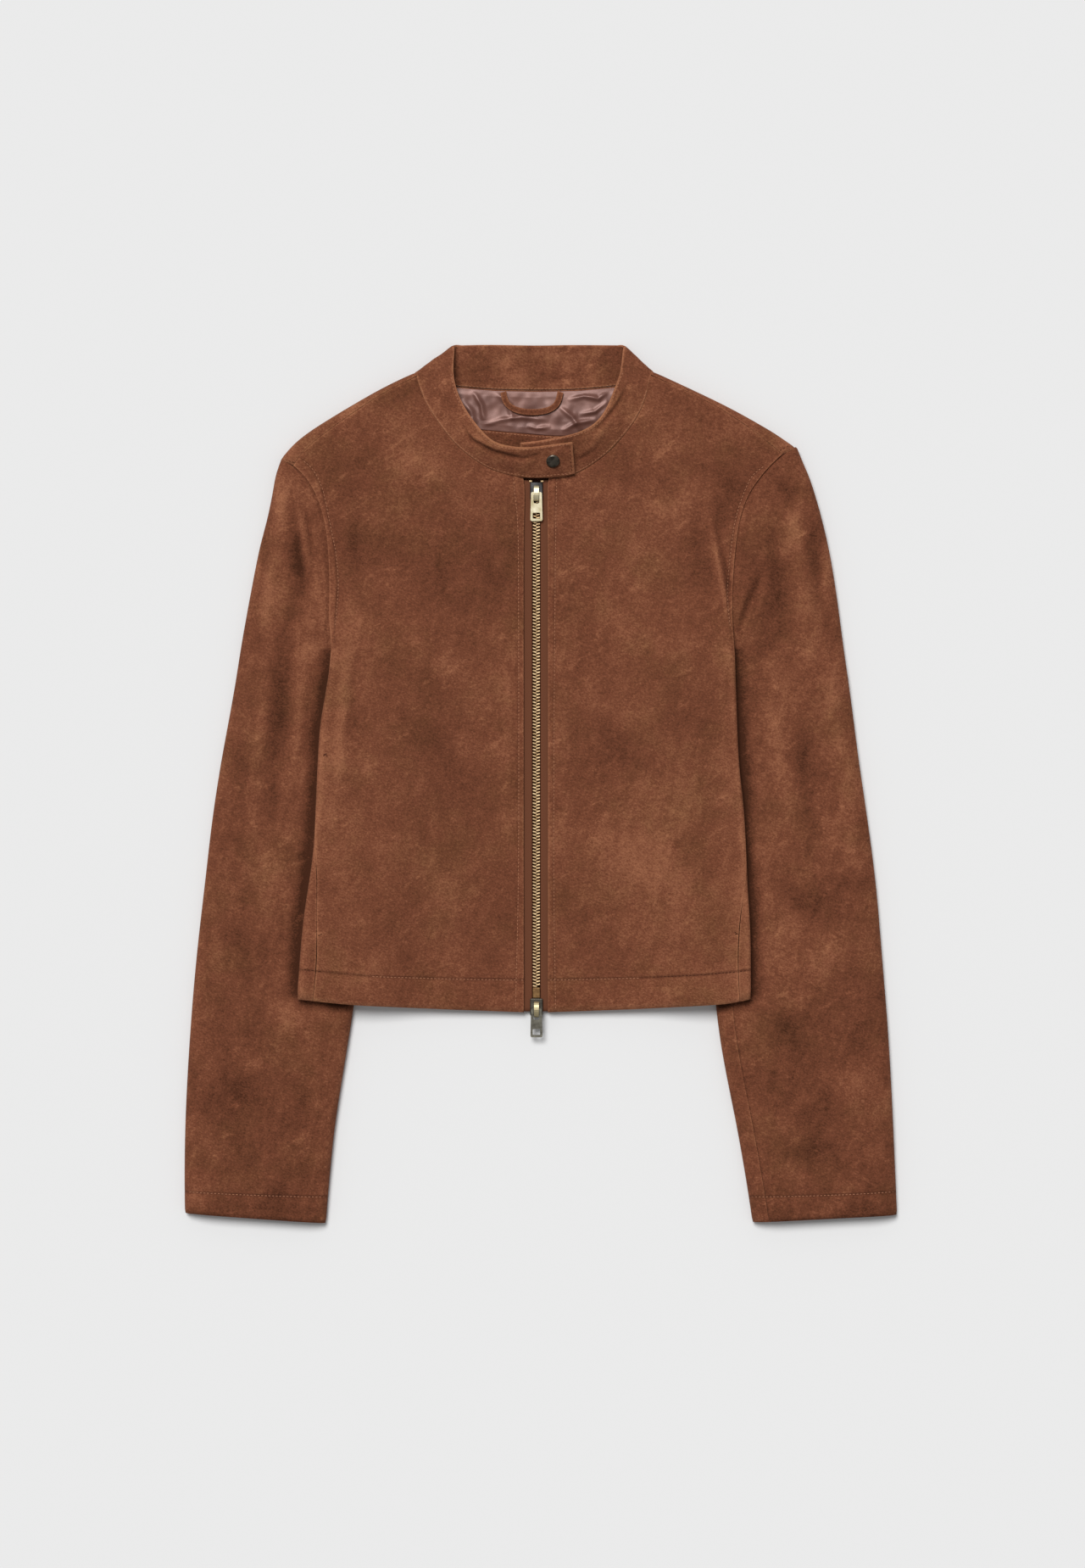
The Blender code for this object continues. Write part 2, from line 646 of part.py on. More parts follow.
def add_back(material, collection):
    """Adds the back: its flat middle, its two sides and the two strips over the shoulders."""
    edges = {}
    tops = {}
    strips = []
    wings = {side: wing_rows(side) for side in (-1, 1)}
    for side in (-1, 1):
        armhole = [Vector((row["under_x"], row["under_y"])) for row in sleeve_table(side)[:CAP_ROWS]]
        lower = [Vector(row[0][0:2]) for row in reversed(wings[side])]
        upper = []
        for index in reversed(range(CAP_ROWS - 1)):
            upper.append(armhole[index] + armhole_inward(side, armhole, index) * GAP)
        shoulder = shoulder_table(side)
        under = [fold + (seam - fold).normalized() * reach for fold, seam, reach in shoulder]
        under[0] = shoulder[0][1].copy()
        upper[-1] = under[0]
        edges[side] = lower + upper
        tops[side] = under
        rows = []
        for index, (fold, seam, reach) in enumerate(shoulder):
            rows.append(shoulder_row(fold, seam, under[index]))
        strips.append(rows if side > 0 else list(reversed(rows)))
    neck = [Vector(point) - Vector((0.0, GAP / 2 + 0.1)) for point in BACK_NECK]
    top = tops[-1] + neck + list(reversed(tops[1]))
    low = spread(edges[-1][0].x, edges[1][0].x, len(top))
    bottom = [Vector((x, hem_point(x).y + 0.6)) for x in low]
    bottom[0] = edges[-1][0]
    bottom[-1] = edges[1][0]
    plan = coons(bottom, top, edges[-1], edges[1])
    middle = [[(point.x, point.y, 0.0) for point in row] for row in plan]
    left_wing = [list(reversed(row)) for row in reversed(wings[-1])]
    right_wing = list(reversed(wings[1]))
    left_strip = [list(column) for column in zip(*reversed(strips[0]))]
    right_strip = [list(column) for column in zip(*reversed(strips[1]))]
    cloth("back", [middle, left_wing, right_wing, left_strip, right_strip], True, SUEDE, material, collection)


# Collar

def corner_stations(corner, angles):
    """The band's stations round one folded corner, from its front to its back."""
    seam_fold, free_fold = (Vector(point) for point in corner)
    along = (free_fold - seam_fold).normalized()
    outward = Vector((-along.y, along.x))
    if outward.y < 0:
        outward = -outward
    half = BAND_PLY + BAND_GAP / 2
    stations = []
    for angle in angles:
        turn = math.radians(angle)
        ends = []
        for fold, radius in ((seam_fold, SHOULDER_FOLD), (free_fold, CORNER_FREE_FOLD)):
            middle = radius - half
            plan = fold - outward * radius + outward * middle * math.cos(turn)
            ends += [plan.x, plan.y, radius + middle * math.sin(turn)]
        stations.append(tuple(ends))
    return stations


def band_stations():
    """All stations of the collar band, from the tab's end round the neck to the hidden end."""
    half = BAND_PLY + BAND_GAP / 2
    back = [(sx, sy, half, fx, fy, half) for (sx, sy), (fx, fy) in zip(BACK_NECK, BACK_FREE)]
    left = corner_stations(LEFT_CORNER, CORNER_ANGLES)
    right = corner_stations(RIGHT_CORNER, tuple(reversed(CORNER_ANGLES)))
    return list(LEFT_BAND) + left + back + right + list(RIGHT_BAND)


def band_point(row, share):
    """A point of one station, a share of the way from the seam to the free edge."""
    seam = Vector(row[0:3])
    free = Vector(row[3:6])
    flat = (free - seam).normalized()
    point = seam + flat * (GAP / 2 + 0.1) + (free - seam) * share * 0.995
    standing = min(abs(row[5] - row[2]) / 10, 1.0)
    outwards = Vector((-flat.x * flat.z, -flat.y * flat.z, 1 - flat.z * flat.z)).normalized()
    return point + outwards * BAND_BOW * standing * math.sin(math.pi * share)


def add_band_ply(name, flip, material, collection):
    """Adds one of the collar's two plies, standing off the middle of the band."""
    rows = [[band_point(row, share) for share in spread(0, 1, BAND_ACROSS)] for row in band_stations()]
    points, faces = quilt([rows], flip)
    mesh = bmesh.new()
    verts = [mesh.verts.new(point) for point in points]
    for face in faces:
        mesh.faces.new([verts[index] for index in face])
    mesh.normal_update()
    moved = [vert.co + vert.normal * (BAND_GAP / 2) for vert in verts]
    mesh.free()
    thing = add_mesh(name, moved, faces, material, collection)
    return solidify(thing, BAND_PLY, 1.0)


# Inside the neck

def satin_height(x, y):
    """Lower face of the satin lining, with its few soft creases."""
    creases = math.sin(x / 9 + 0.4 * math.sin(y / 8)) * math.sin(y / 11 + x / 40)
    return SUEDE + GAP + 0.5 * (1 + creases)


def add_lining(material, collection):
    """Adds the satin back lining, where the open neck shows it."""
    neck_line = ((LEFT_CORNER[0][0] + 4, 325.0),) + BACK_NECK + ((RIGHT_CORNER[0][0] - 4, 326.0),)
    rows = []
    for share in spread(0, 1, 7):
        row = []
        for x in spread(LINING_LEFT, LINING_RIGHT, 19):
            low = read_line(FACING_TOP, x) + GAP
            high = read_line(neck_line, x) - 1.0
            y = low + (high - low) * share
            row.append((x, y, satin_height(x, y)))
        rows.append(row)
    cloth("lining_back", [rows], False, SATIN, material, collection, offset=1.0)


def add_facing(material, collection):
    """Adds the suede facing below the lining."""
    rows = []
    for share in spread(0, 1, 4):
        row = []
        for x in spread(FACING_TOP[0][0], FACING_TOP[-1][0], 9):
            high = read_line(FACING_TOP, x)
            row.append((x, FACING_BOTTOM + (high - FACING_BOTTOM) * share, SUEDE + GAP))
        rows.append(row)
    cloth("facing_back", [rows], False, SUEDE, material, collection, offset=1.0)


def add_hanger_loop(material, collection):
    """Adds the hanging loop, a flat suede strip bent to a shallow U."""
    path = [Vector(point) for point in LOOP_PATH]
    rows = []
    for index, point in enumerate(path):
        before = path[max(index - 1, 0)]
        after = path[min(index + 1, len(path) - 1)]
        along = (after - before).normalized()
        across = Vector((-along.y, along.x)) * LOOP_WIDTH / 2
        rows.append([(point.x - across.x, point.y - across.y, LOOP_BASE),
                     (point.x + across.x, point.y + across.y, LOOP_BASE)])
    cloth("hanger_loop", [rows], True, LOOP_WALL, material, collection, offset=1.0)


# Zip

def add_bar(name, x_range, y_range, z_range, material, collection, steps=1, bevel=0.0):
    """Adds a bar along the zip that follows the fronts' height, with its z given from their face."""
    rows = []
    for y in spread(y_range[0], y_range[1], steps + 1):
        base = body_top(ZIP_X, y)
        rows.append([(x_range[0], y, base + z_range[0]), (x_range[1], y, base + z_range[0])])
    points, faces = quilt([rows], False)
    thing = add_mesh(name, points, faces, material, collection)
    solidify(thing, z_range[1] - z_range[0], 1.0)
    if bevel:
        edges = thing.modifiers.new("rounded edges", "BEVEL")
        edges.width = bevel * MM
        edges.segments = 2
        edges.limit_method = "ANGLE"
    return thing


def make_cutter(thing, cutters):
    """Moves an object among the cutters, shown as wire."""
    for collection in list(thing.users_collection):
        collection.objects.unlink(thing)
    cutters.objects.link(thing)
    thing.hide_render = True
    thing.display_type = "WIRE"


def unite(thing, part):
    """Joins a part onto a thing with a live union."""
    join = thing.modifiers.new("join " + part.name, "BOOLEAN")
    join.operation = "UNION"
    join.solver = "EXACT"
    join.object = part


def add_block(name, x_range, y_range, z_range, material, collection, bevel):
    """Adds a block between two corners, with rounded edges."""
    mesh = bmesh.new()
    bmesh.ops.create_cube(mesh, size=1.0)
    size = Vector((x_range[1] - x_range[0], y_range[1] - y_range[0], z_range[1] - z_range[0]))
    centre = Vector((x_range[1] + x_range[0], y_range[1] + y_range[0], z_range[1] + z_range[0])) / 2
    bmesh.ops.transform(mesh, matrix=Matrix.Translation(centre) @ Matrix.Diagonal((*size, 1.0)), verts=mesh.verts)
    bmesh.ops.scale(mesh, vec=(MM, MM, MM), verts=mesh.verts)
    data = bpy.data.meshes.new(name)
    mesh.to_mesh(data)
    mesh.free()
    data.materials.append(material)
    thing = bpy.data.objects.new(name, data)
    collection.objects.link(thing)
    edges = thing.modifiers.new("rounded edges", "BEVEL")
    edges.width = bevel * MM
    edges.segments = 2
    return thing


def add_slider(name, hinge_y, material, collection, cutters):
    """Adds a zip slider: two plates, the post between them and the bail over the upper plate."""
    face = body_top(ZIP_X, hinge_y)
    half = SLIDER_WIDTH / 2
    y_range = (hinge_y - SLIDER_BEHIND, hinge_y + SLIDER_AHEAD)
    slider = add_block(name, (ZIP_X - half, ZIP_X + half), y_range,
                       (face + PLATE_UPPER[0], face + PLATE_UPPER[1]), material, collection, 0.7)
    lower = add_block(name + "_lower_plate", (ZIP_X - half, ZIP_X + half), y_range,
                      (face + PLATE_LOWER[0], face + PLATE_LOWER[1]), material, collection, 0.5)
    post = add_block(name + "_post", (ZIP_X - 1.6, ZIP_X + 1.6), (hinge_y, hinge_y + SLIDER_AHEAD - 1),
                     (face + PLATE_LOWER[1] - 0.6, face + PLATE_UPPER[0] + 0.6), material, collection, 0.3)
    bail_rows = []
    base = face + PLATE_UPPER[1] - 0.4
    for angle in spread(0, math.pi, 11):
        y = hinge_y + BAIL_REACH * math.cos(angle)
        z = base + (BAIL_HEIGHT + 0.4) * math.sin(angle) ** 0.8
        bail_rows.append([(ZIP_X - BAIL_WIDTH / 2, y, z), (ZIP_X + BAIL_WIDTH / 2, y, z)])
    points, faces = quilt([bail_rows], False)
    bail = add_mesh(name + "_bail", points, faces, material, collection)
    solidify(bail, BAIL_WALL, 0.0)
    for part in (lower, post, bail):
        make_cutter(part, cutters)
        unite(slider, part)
    return slider


def outline_spline(curve, corners):
    """Adds one closed outline to a flat curve."""
    spline = curve.splines.new("POLY")
    spline.points.add(len(corners) - 1)
    for point, (x, y) in zip(spline.points, corners):
        point.co = (x * MM, y * MM, 0.0, 1.0)
    spline.use_cyclic_u = True


def rounded_outline(corners, radius, steps=4):
    """Rounds the corners of a convex outline."""
    points = []
    count = len(corners)
    for index, corner in enumerate(corners):
        corner = Vector(corner)
        before = (Vector(corners[index - 1]) - corner).normalized()
        after = (Vector(corners[(index + 1) % count]) - corner).normalized()
        half_angle = before.angle(after) / 2
        set_back = radius / math.tan(half_angle)
        centre = corner + (before + after).normalized() * radius / math.sin(half_angle)
        start = corner + before * set_back - centre
        end = corner + after * set_back - centre
        for share in spread(0, 1, steps):
            arm = start.lerp(end, share).normalized() * radius
            points.append((centre.x + arm.x, centre.y + arm.y))
    return points


def box_outline(half_width, low, high):
    """Corners of a rectangle about the middle line."""
    return [(-half_width, low), (half_width, low), (half_width, high), (-half_width, high)]


def add_pull(name, hinge_y, droop, material, collection):
    """Adds a pull tab: a plate with a slot for the bail and a hole, hinged on its crossbar."""
    curve = bpy.data.curves.new(name, "CURVE")
    curve.dimensions = "2D"
    curve.fill_mode = "BOTH"
    curve.extrude = PULL_THICKNESS * MM / 2
    head = PULL_HEAD_WIDTH / 2
    foot = PULL_WIDTH / 2
    end = CROSSBAR / 2 - PULL_LENGTH
    outer = [(-foot, end), (foot, end), (head, CROSSBAR / 2), (-head, CROSSBAR / 2)]
    slot = box_outline(SLOT[0] / 2, -CROSSBAR / 2 - SLOT[1], -CROSSBAR / 2)
    hole = box_outline(PULL_HOLE[0] / 2, end + 1.9, end + 1.9 + PULL_HOLE[1])
    outline_spline(curve, rounded_outline(outer, 1.3))
    outline_spline(curve, rounded_outline(slot, 1.2))
    outline_spline(curve, rounded_outline(hole, 0.7))
    curve.materials.append(material)
    thing = bpy.data.objects.new(name, curve)
    face = body_top(ZIP_X, hinge_y)
    thing.location = Vector((ZIP_X, hinge_y, face + PLATE_UPPER[1] + HINGE_RISE)) * MM
    thing.rotation_euler = (math.radians(droop), 0.0, 0.0)
    collection.objects.link(thing)
    return thing


def add_zip(tape_material, brass, gunmetal, collection, cutters):
    """Adds the tapes, the chain, the stops, the sliders and the pulls."""
    y_tape = (TAPE_BOTTOM, TAPE_TOP)
    z_tape = (-TAPE_SINK - TAPE, -TAPE_SINK)
    add_bar("zip_tape_left", LEFT_TAPE, y_tape, z_tape, tape_material, collection, steps=24)
    add_bar("zip_tape_right", RIGHT_TAPE, y_tape, z_tape, tape_material, collection, steps=24)
    half = CHAIN_WIDTH / 2
    z_chain = (-CHAIN_SINK - CHAIN_DEPTH, -CHAIN_SINK)
    pin_top = BOTTOM_HINGE_Y + SLIDER_AHEAD + GAP + PIN_LENGTH
    add_bar("zip_chain", (ZIP_X - half, ZIP_X + half), (pin_top + GAP, TOP_HINGE_Y - SLIDER_BEHIND - GAP),
            z_chain, brass, collection, steps=22)
    add_bar("zip_pin", (ZIP_X - half, ZIP_X + half), (pin_top - PIN_LENGTH, pin_top), z_chain, brass, collection,
            bevel=0.5)
    stop_y = (TOP_HINGE_Y + SLIDER_AHEAD + GAP, TOP_HINGE_Y + SLIDER_AHEAD + GAP + 1.4)
    z_stop = (GAP - TAPE_SINK, 1.3 - TAPE_SINK)
    add_bar("top_stop_left", (LEFT_TAPE[1] - 2.6, LEFT_TAPE[1] - 0.2), stop_y, z_stop, brass, collection, bevel=0.3)
    add_bar("top_stop_right", (RIGHT_TAPE[0] + 0.2, RIGHT_TAPE[0] + 2.6), stop_y, z_stop, brass, collection,
            bevel=0.3)
    add_slider("slider_top", TOP_HINGE_Y, gunmetal, collection, cutters)
    add_slider("slider_bottom", BOTTOM_HINGE_Y, gunmetal, collection, cutters)
    add_pull("pull_top", TOP_HINGE_Y, TOP_PULL_DROOP, brass, collection)
    add_pull("pull_bottom", BOTTOM_HINGE_Y, BOTTOM_PULL_DROOP, gunmetal, collection)


def add_snap(material, collection):
    """Adds the snap cap: a shallow dome turned about its own axis, pressed into the tab."""
    rim = SNAP_RADIUS
    profile = [(0.0, SNAP_HEIGHT), (rim * 0.55, SNAP_HEIGHT - 0.1), (rim * 0.85, SNAP_HEIGHT - 0.45),
               (rim, 0.5), (rim, 0.0), (0.0, 0.0)]
    mesh = bpy.data.meshes.new("snap_cap")
    points = [Vector((x * MM, 0.0, z * MM)) for x, z in profile]
    mesh.from_pydata(points, [(i, i + 1) for i in range(len(points) - 1)], [])
    mesh.materials.append(material)
    thing = bpy.data.objects.new("snap_cap", mesh)
    turn = thing.modifiers.new("turn", "SCREW")
    turn.steps = 32
    turn.render_steps = 32
    turn.use_merge_vertices = True
    turn.merge_threshold = 0.00001
    rows = LEFT_BAND[1:4]
    near = min(rows, key=lambda row: abs(row[0] - SNAP_X))
    spot = band_point(near, SNAP_ACROSS)
    spot.x = SNAP_X
    up = band_point(near, SNAP_ACROSS + 0.1) - band_point(near, SNAP_ACROSS - 0.1)
    normal = Vector((1.0, 0.0, 0.0)).cross(up).normalized()
    clear = BAND_GAP / 2 + BAND_PLY + GAP
    thing.location = (spot + normal * clear) * MM
    thing.rotation_mode = "QUATERNION"
    thing.rotation_quaternion = Vector((0.0, 0.0, 1.0)).rotation_difference(normal)
    collection.objects.link(thing)
    return thing


def build():
    """Builds the whole jacket."""
    clear_scene()
    parts = make_collection(GARMENT)
    cutters = make_collection("cutters")
    suede = make_material("brown_suede", (0.19, 0.075, 0.037), 0.95)
    satin = make_material("mauve_satin", (0.22, 0.11, 0.085), 0.35)
    tape = make_material("brown_zip_tape", (0.16, 0.06, 0.03), 0.9)
    brass = make_material("zip_brass", (0.62, 0.47, 0.24), 0.35, 1.0)
    gunmetal = make_material("gunmetal", (0.25, 0.24, 0.23), 0.35, 1.0)
    add_back(suede, parts)
    for side in (-1, 1):
        add_front(side, suede, parts)
        add_sleeve(side, suede, parts)
    add_band_ply("collar_outer", False, suede, parts)
    add_band_ply("collar_inner", True, suede, parts)
    add_lining(satin, parts)
    add_facing(suede, parts)
    add_hanger_loop(suede, parts)
    add_zip(tape, brass, gunmetal, parts, cutters)
    add_snap(gunmetal, parts)


build()
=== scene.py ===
import math

import bmesh
import bpy
import numpy as np
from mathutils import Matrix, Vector, noise
from mathutils.bvhtree import BVHTree
from mathutils.kdtree import KDTree


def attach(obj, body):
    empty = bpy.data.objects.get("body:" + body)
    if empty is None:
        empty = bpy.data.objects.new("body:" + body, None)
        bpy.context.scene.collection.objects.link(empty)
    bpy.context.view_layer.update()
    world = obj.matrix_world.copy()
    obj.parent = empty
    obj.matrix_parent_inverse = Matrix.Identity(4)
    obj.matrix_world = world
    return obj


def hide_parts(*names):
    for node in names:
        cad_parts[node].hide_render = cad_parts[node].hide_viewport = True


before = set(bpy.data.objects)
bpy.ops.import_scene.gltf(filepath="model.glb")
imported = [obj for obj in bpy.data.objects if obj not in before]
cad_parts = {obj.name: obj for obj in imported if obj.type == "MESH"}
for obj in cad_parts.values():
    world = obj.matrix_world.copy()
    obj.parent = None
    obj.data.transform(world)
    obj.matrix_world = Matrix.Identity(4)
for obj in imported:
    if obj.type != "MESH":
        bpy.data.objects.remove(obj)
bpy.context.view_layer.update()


# The sleeves. Each is cut from brown suede in two pieces, an upper and an under, seamed along the
# elbow and the inner arm and set into the armhole. They lie flattened, softly folded down their
# length, with the body's sides over their inner halves. Sizes in millimetres, as the jacket lies.
MM = 0.001
SUEDE = 1.4          # one thickness of suede
GAP = 0.1            # between two pieces at a seam
FOLD_GAP = 0.4       # and at a seam that lies on a fold, where the walls' inner faces come closer
SLEEVE_TOP = 12.5    # the flattened sleeves, away from their folds
SIDE_LIFT = 7.1      # what the body's sides rise to lie over the sleeves
MIDDLE_LIFT = 1.5    # the loft of the fronts beside the zip
HEM_DIP = 6.5        # how far the fronts sink towards the back at the middle of the hem
OUTER_SEAM = 16.0    # the elbow seam, on the underside, from the outer fold
FOLD_STRIP = 10.0    # the width beside a fold or an armhole that gets closer rows
EDGE_STEP = 0.5      # the last of those rows, beside the edge itself
UNDERARM_SEAM = 1.5  # how far the side seam lies over the cloth from the body's fold, at the underarm
UNDERARM_EASE = 0.9  # how much further apart the pieces lie where the side seams and inner seams start
EDGE_ROUND = 0.4     # how softly a cut edge of suede is rounded
TUCK = 2.6           # how far a seam's lower piece reaches under the upper one
TUCK_DROP = 1.65     # and how much lower it lies there
RELIEF_FADE = 5.0    # folds fade out this close to a cut edge
GROOVE = 1.9         # half the width of the groove that a seam pulls into the cloth
GROOVE_DEPTH = 0.42
FOLD_PAINTED_LIGHT = 0.24    # painted light and shade: how much paler the nap is painted for each millimetre that a fold rises, and darker where it sinks
EDGE_RIM_WIDTH = 1.2      # width of the paler or darker rim along a cut edge: wear with painted highlight where paler, painted shade where darker
FAR = 100.0          # the distance given where a piece has no such line

# From the shoulder to the cuff: the outer fold, the end of the upper ply, that of the under ply (x and y
# each), and the outer fold's radius
LEFT_SLEEVE = (
    (-209.6, 260.2, -199.2, 255.6, -199.2, 255.6, 6),
    (-213.9, 248.2, -188.7, 246, -186, 239, 5.6),
    (-216.9, 231.5, -179.9, 231, -175.8, 221.3, 5.2),
    (-221.3, 211.1, -174.4, 213, -169.7, 200.9, 4.8),
    (-226.8, 190.7, -171.4, 194.1, -166.3, 180.5, 4.4),
    (-232.9, 160.1, -169.7, 160.1, -157.5, 152, 4),
    (-238.3, 131, -170, 131, -136, 124.5, 4),
    (-242.1, 109, -168.5, 109.8, -97.5, 109.2, 4),
    (-245.8, 85.3, -128, 85.3, -107.8, 82, 4),
    (-250.9, 56, -111.9, 51.3, -111.9, 51.3, 4),
    (-257.6, 20, -118, 16, -118, 16, 4),
    (-264.9, -27, -126.1, -33.7, -126.1, -33.7, 4),
    (-271, -80, -135.7, -88.1, -135.7, -88.1, 4),
    (-277.8, -139.1, -145.2, -145.9, -145.2, -145.9, 4),
    (-283.2, -205, -154.7, -207.1, -154.7, -207.1, 4),
    (-286.6, -268.3, -164.9, -269.6, -164.9, -269.6, 4),
    (-287.3, -315.9, -170, -319.3, -170, -319.3, 4),
    (-287, -343.7, -172.6, -351.9, -172.6, -351.9, 3.6),
)
RIGHT_SLEEVE = (
    (206.4, 269.4, 193.8, 264.5, 193.8, 264.5, 6),
    (211.1, 258.1, 183.9, 256, 181.2, 248.5, 5.6),
    (216.9, 244.5, 173.1, 243.1, 170.3, 231.5, 5.2),
    (223.4, 223.4, 164.2, 228, 164.2, 213.2, 4.8),
    (229.5, 199.6, 158.1, 206.4, 160.1, 190.7, 4.4),
    (234.9, 172.4, 154.4, 172.4, 154.5, 160.1, 4),
    (239.7, 139.7, 153, 140.5, 135.5, 126, 4),
    (243.4, 111.2, 155.1, 110.5, 97.5, 109.2, 4),
    (247.2, 85.3, 126.8, 85.3, 107.8, 82, 4),
    (251.3, 54.7, 111.9, 51.3, 111.9, 51.3, 4),
    (256, 18, 117.3, 16, 117.3, 16, 4),
    (262.8, -28, 123.4, -33.7, 123.4, -33.7, 4),
    (269.6, -80, 130.2, -88.1, 130.2, -88.1, 4),
    (274.4, -137, 136.5, -145.9, 136.5, -145.9, 4),
    (279.8, -203.7, 143.1, -207, 143.1, -207, 4),
    (283.2, -268.3, 155.7, -270.5, 155.7, -270.5, 4),
    (285.3, -315.9, 164.2, -319, 164.2, -319, 4),
    (286.6, -345.1, 169, -351.2, 169, -351.2, 3.6),
)
SLEEVES = {-1: LEFT_SLEEVE, 1: RIGHT_SLEEVE}
CAP_ROWS = 8         # rows of a sleeve from the shoulder to the underarm
OPEN_ROWS = 9        # rows whose upper ply has no inner fold
UNDERARM_TUCKS = {6: TUCK + 2, 7: 12.0, 8: 1.0}  # the tuck of the last open rows
FIRST_INNER_CURL = -4.0  # where the under ply ends just below the underarm
FIRST_INNER_SEAM = 2.0   # and where both plies meet, one section further down
INNER_SEAM = {-1: -9.0, 1: 16.0}
PUFF_WIDTH = 40.0    # how far from its folds a sleeve still rises

# Folds of the sleeves as they lie: a line from above, its half width and its height
LEFT_SLEEVE_FOLDS = (
    (((-193.8, 226.1), (-187.7, 217.6), (-184.3, 193.1), (-181.6, 178)), 1.8, -1.5),
    (((-199, 235), (-192.5, 212), (-189, 186), (-184, 166)), 3, 1.2),
    (((-196, 206), (-194.8, 190), (-190.7, 160.5), (-191.4, 146)), 2.6, -2.1),
    (((-203, 240), (-199, 200), (-197, 160), (-199, 120)), 4.5, -1.3),
    (((-205, 250), (-212, 205), (-219, 160), (-222, 110)), 6.5, 1.3),
    (((-181, 170), (-178, 150), (-173, 130)), 2.6, 0.9),
    (((-184, 150), (-180, 128), (-176, 108)), 3, -1),
    (((-215, 215), (-224, 165), (-231, 105)), 4.5, -0.9),
    (((-203, 130), (-206, 90), (-213, 20), (-222, -50)), 8, -1.8),
    (((-189, 110), (-195, 60), (-199, 10)), 6, 1.3),
    (((-222, 90), (-226, 40), (-233, -10)), 6, 1.2),
    (((-237, 50), (-243, -20), (-250, -90)), 7, -1.2),
    (((-206, -50), (-220, -90), (-246, -118)), 9, 1.2),
    (((-262, -110), (-240, -132), (-205, -140)), 8, -1.2),
    (((-186, -150), (-199, -190), (-226, -212)), 8, 1.1),
    (((-262, -190), (-246, -240), (-240, -290)), 9, -1),
    (((-186, -232), (-200, -268), (-228, -286)), 8, -1.1),
)
RIGHT_SLEEVE_FOLDS = (
    (((180, 180.9), (172, 160.5), (164.2, 142.8), (159.5, 126), (156, 106)), 2, -1.9),
    (((186, 176), (177, 152), (169, 130), (164, 108)), 3.4, 1.1),
    (((167, 170), (162, 150), (158, 134)), 2.6, 0.8),
    (((186, 246), (196, 236), (206, 214)), 4, -0.9),
    (((197, 238), (206, 196), (214, 140), (220, 70)), 7, 1.2),
    (((183, 210), (190, 166), (195, 110)), 5.5, -1.3),
    (((212, 222), (221, 175), (229, 120)), 5, -1.1),
    (((181, 110), (187, 50), (195, -20)), 7, 1.3),
    (((205, 60), (212, 0), (222, -70)), 8, -1.6),
    (((225, 130), (233, 70), (240, 10)), 6, 1),
    (((242, 50), (247, -10), (254, -80)), 6, 0.9),
    (((186, -60), (205, -96), (236, -112)), 9, -1.2),
    (((252, -120), (226, -146), (190, -150)), 8, 1.1),
    (((186, -180), (206, -214), (238, -226)), 8, -1.1),
    (((262, -200), (250, -250), (240, -296)), 8, 0.9),
)
# and the softer ones pressed into their undersides
UNDER_SLEEVE_FOLDS = (
    (((180, 70), (190, 10), (206, -60)), 10, -0.9),
    (((230, -20), (236, -90), (228, -150)), 9, -0.7),
    (((190, -120), (214, -160), (250, -176)), 9, -0.8),
    (((180, -230), (204, -262), (240, -276)), 8, -0.7),
)


def ease(amount):
    """Goes from 0 to 1 with a soft start and end."""
    amount = min(max(amount, 0.0), 1.0)
    return amount * amount * (3 - 2 * amount)


def spread(start, end, count):
    """Evenly spaced values, both ends included."""
    return [start + (end - start) * step / (count - 1) for step in range(count)]


def toward_edge(first, last, count):
    """Evenly spaced travels, with a short last step so that the wall ends square to the cloth."""
    step = EDGE_STEP if first > last else -EDGE_STEP
    return spread(first, last + step, count - 1) + [last]


def read_line(points, x):
    """Reads y at x on a line through points whose x rises or falls."""
    return float(np.interp(x, *zip(*sorted(points))))


def across_fold(radius, travel):
    """Gives the inset from a fold and the drop from its upper side.

    Travel is measured over the cloth from the fold's outermost line, above zero on the upper side.
    """
    quarter = radius * math.pi / 2
    if travel >= quarter:
        return travel - quarter + radius, 0.0
    if travel <= -quarter:
        return -travel - quarter + radius, 2 * radius
    angle = travel / radius
    return radius * (1 - math.cos(angle)), radius * (1 - math.sin(angle))


def sleeve_table(side):
    """The rows of one sleeve: the outer fold, the ends of its upper and under ply, and the fold's radius."""
    return [(Vector(row[0:2]), Vector(row[2:4]), Vector(row[4:6]), row[6]) for row in SLEEVES[side]]


def inner_fold(side, y):
    """Distance of a sleeve's inner fold from the middle, at a height."""
    return read_line([(row[5], abs(row[4])) for row in SLEEVES[side][OPEN_ROWS - 1:]], y)


def body_top(x, y):
    """Height of the fronts' upper face, before their edges turn down."""
    reach = abs(x)
    side = -1 if x < 0 else 1
    over_sleeve = ease((reach - inner_fold(side, y) + 60) / 55) * ease((160 - y) / 50)
    middle = ease(1 - reach / 150)
    dip = ease((-50 - y) / 130) * ease(1 - reach / 140)
    return SLEEVE_TOP + MIDDLE_LIFT * middle + SIDE_LIFT * over_sleeve - HEM_DIP * dip


def finer(rows):
    """Puts a new row halfway between each two, on a smooth line through them."""
    rows = [[Vector(point) for point in row] for row in rows]
    result = [rows[0]]
    for index, (lower, upper) in enumerate(zip(rows, rows[1:])):
        middle = []
        for spot, (b, c) in enumerate(zip(lower, upper)):
            a = rows[index - 1][spot] if index else 2 * b - c
            d = rows[index + 2][spot] if index + 2 < len(rows) else 2 * c - b
            middle.append((b + c) * 0.5625 - (a + d) * 0.0625)
        result += [middle, upper]
    return result


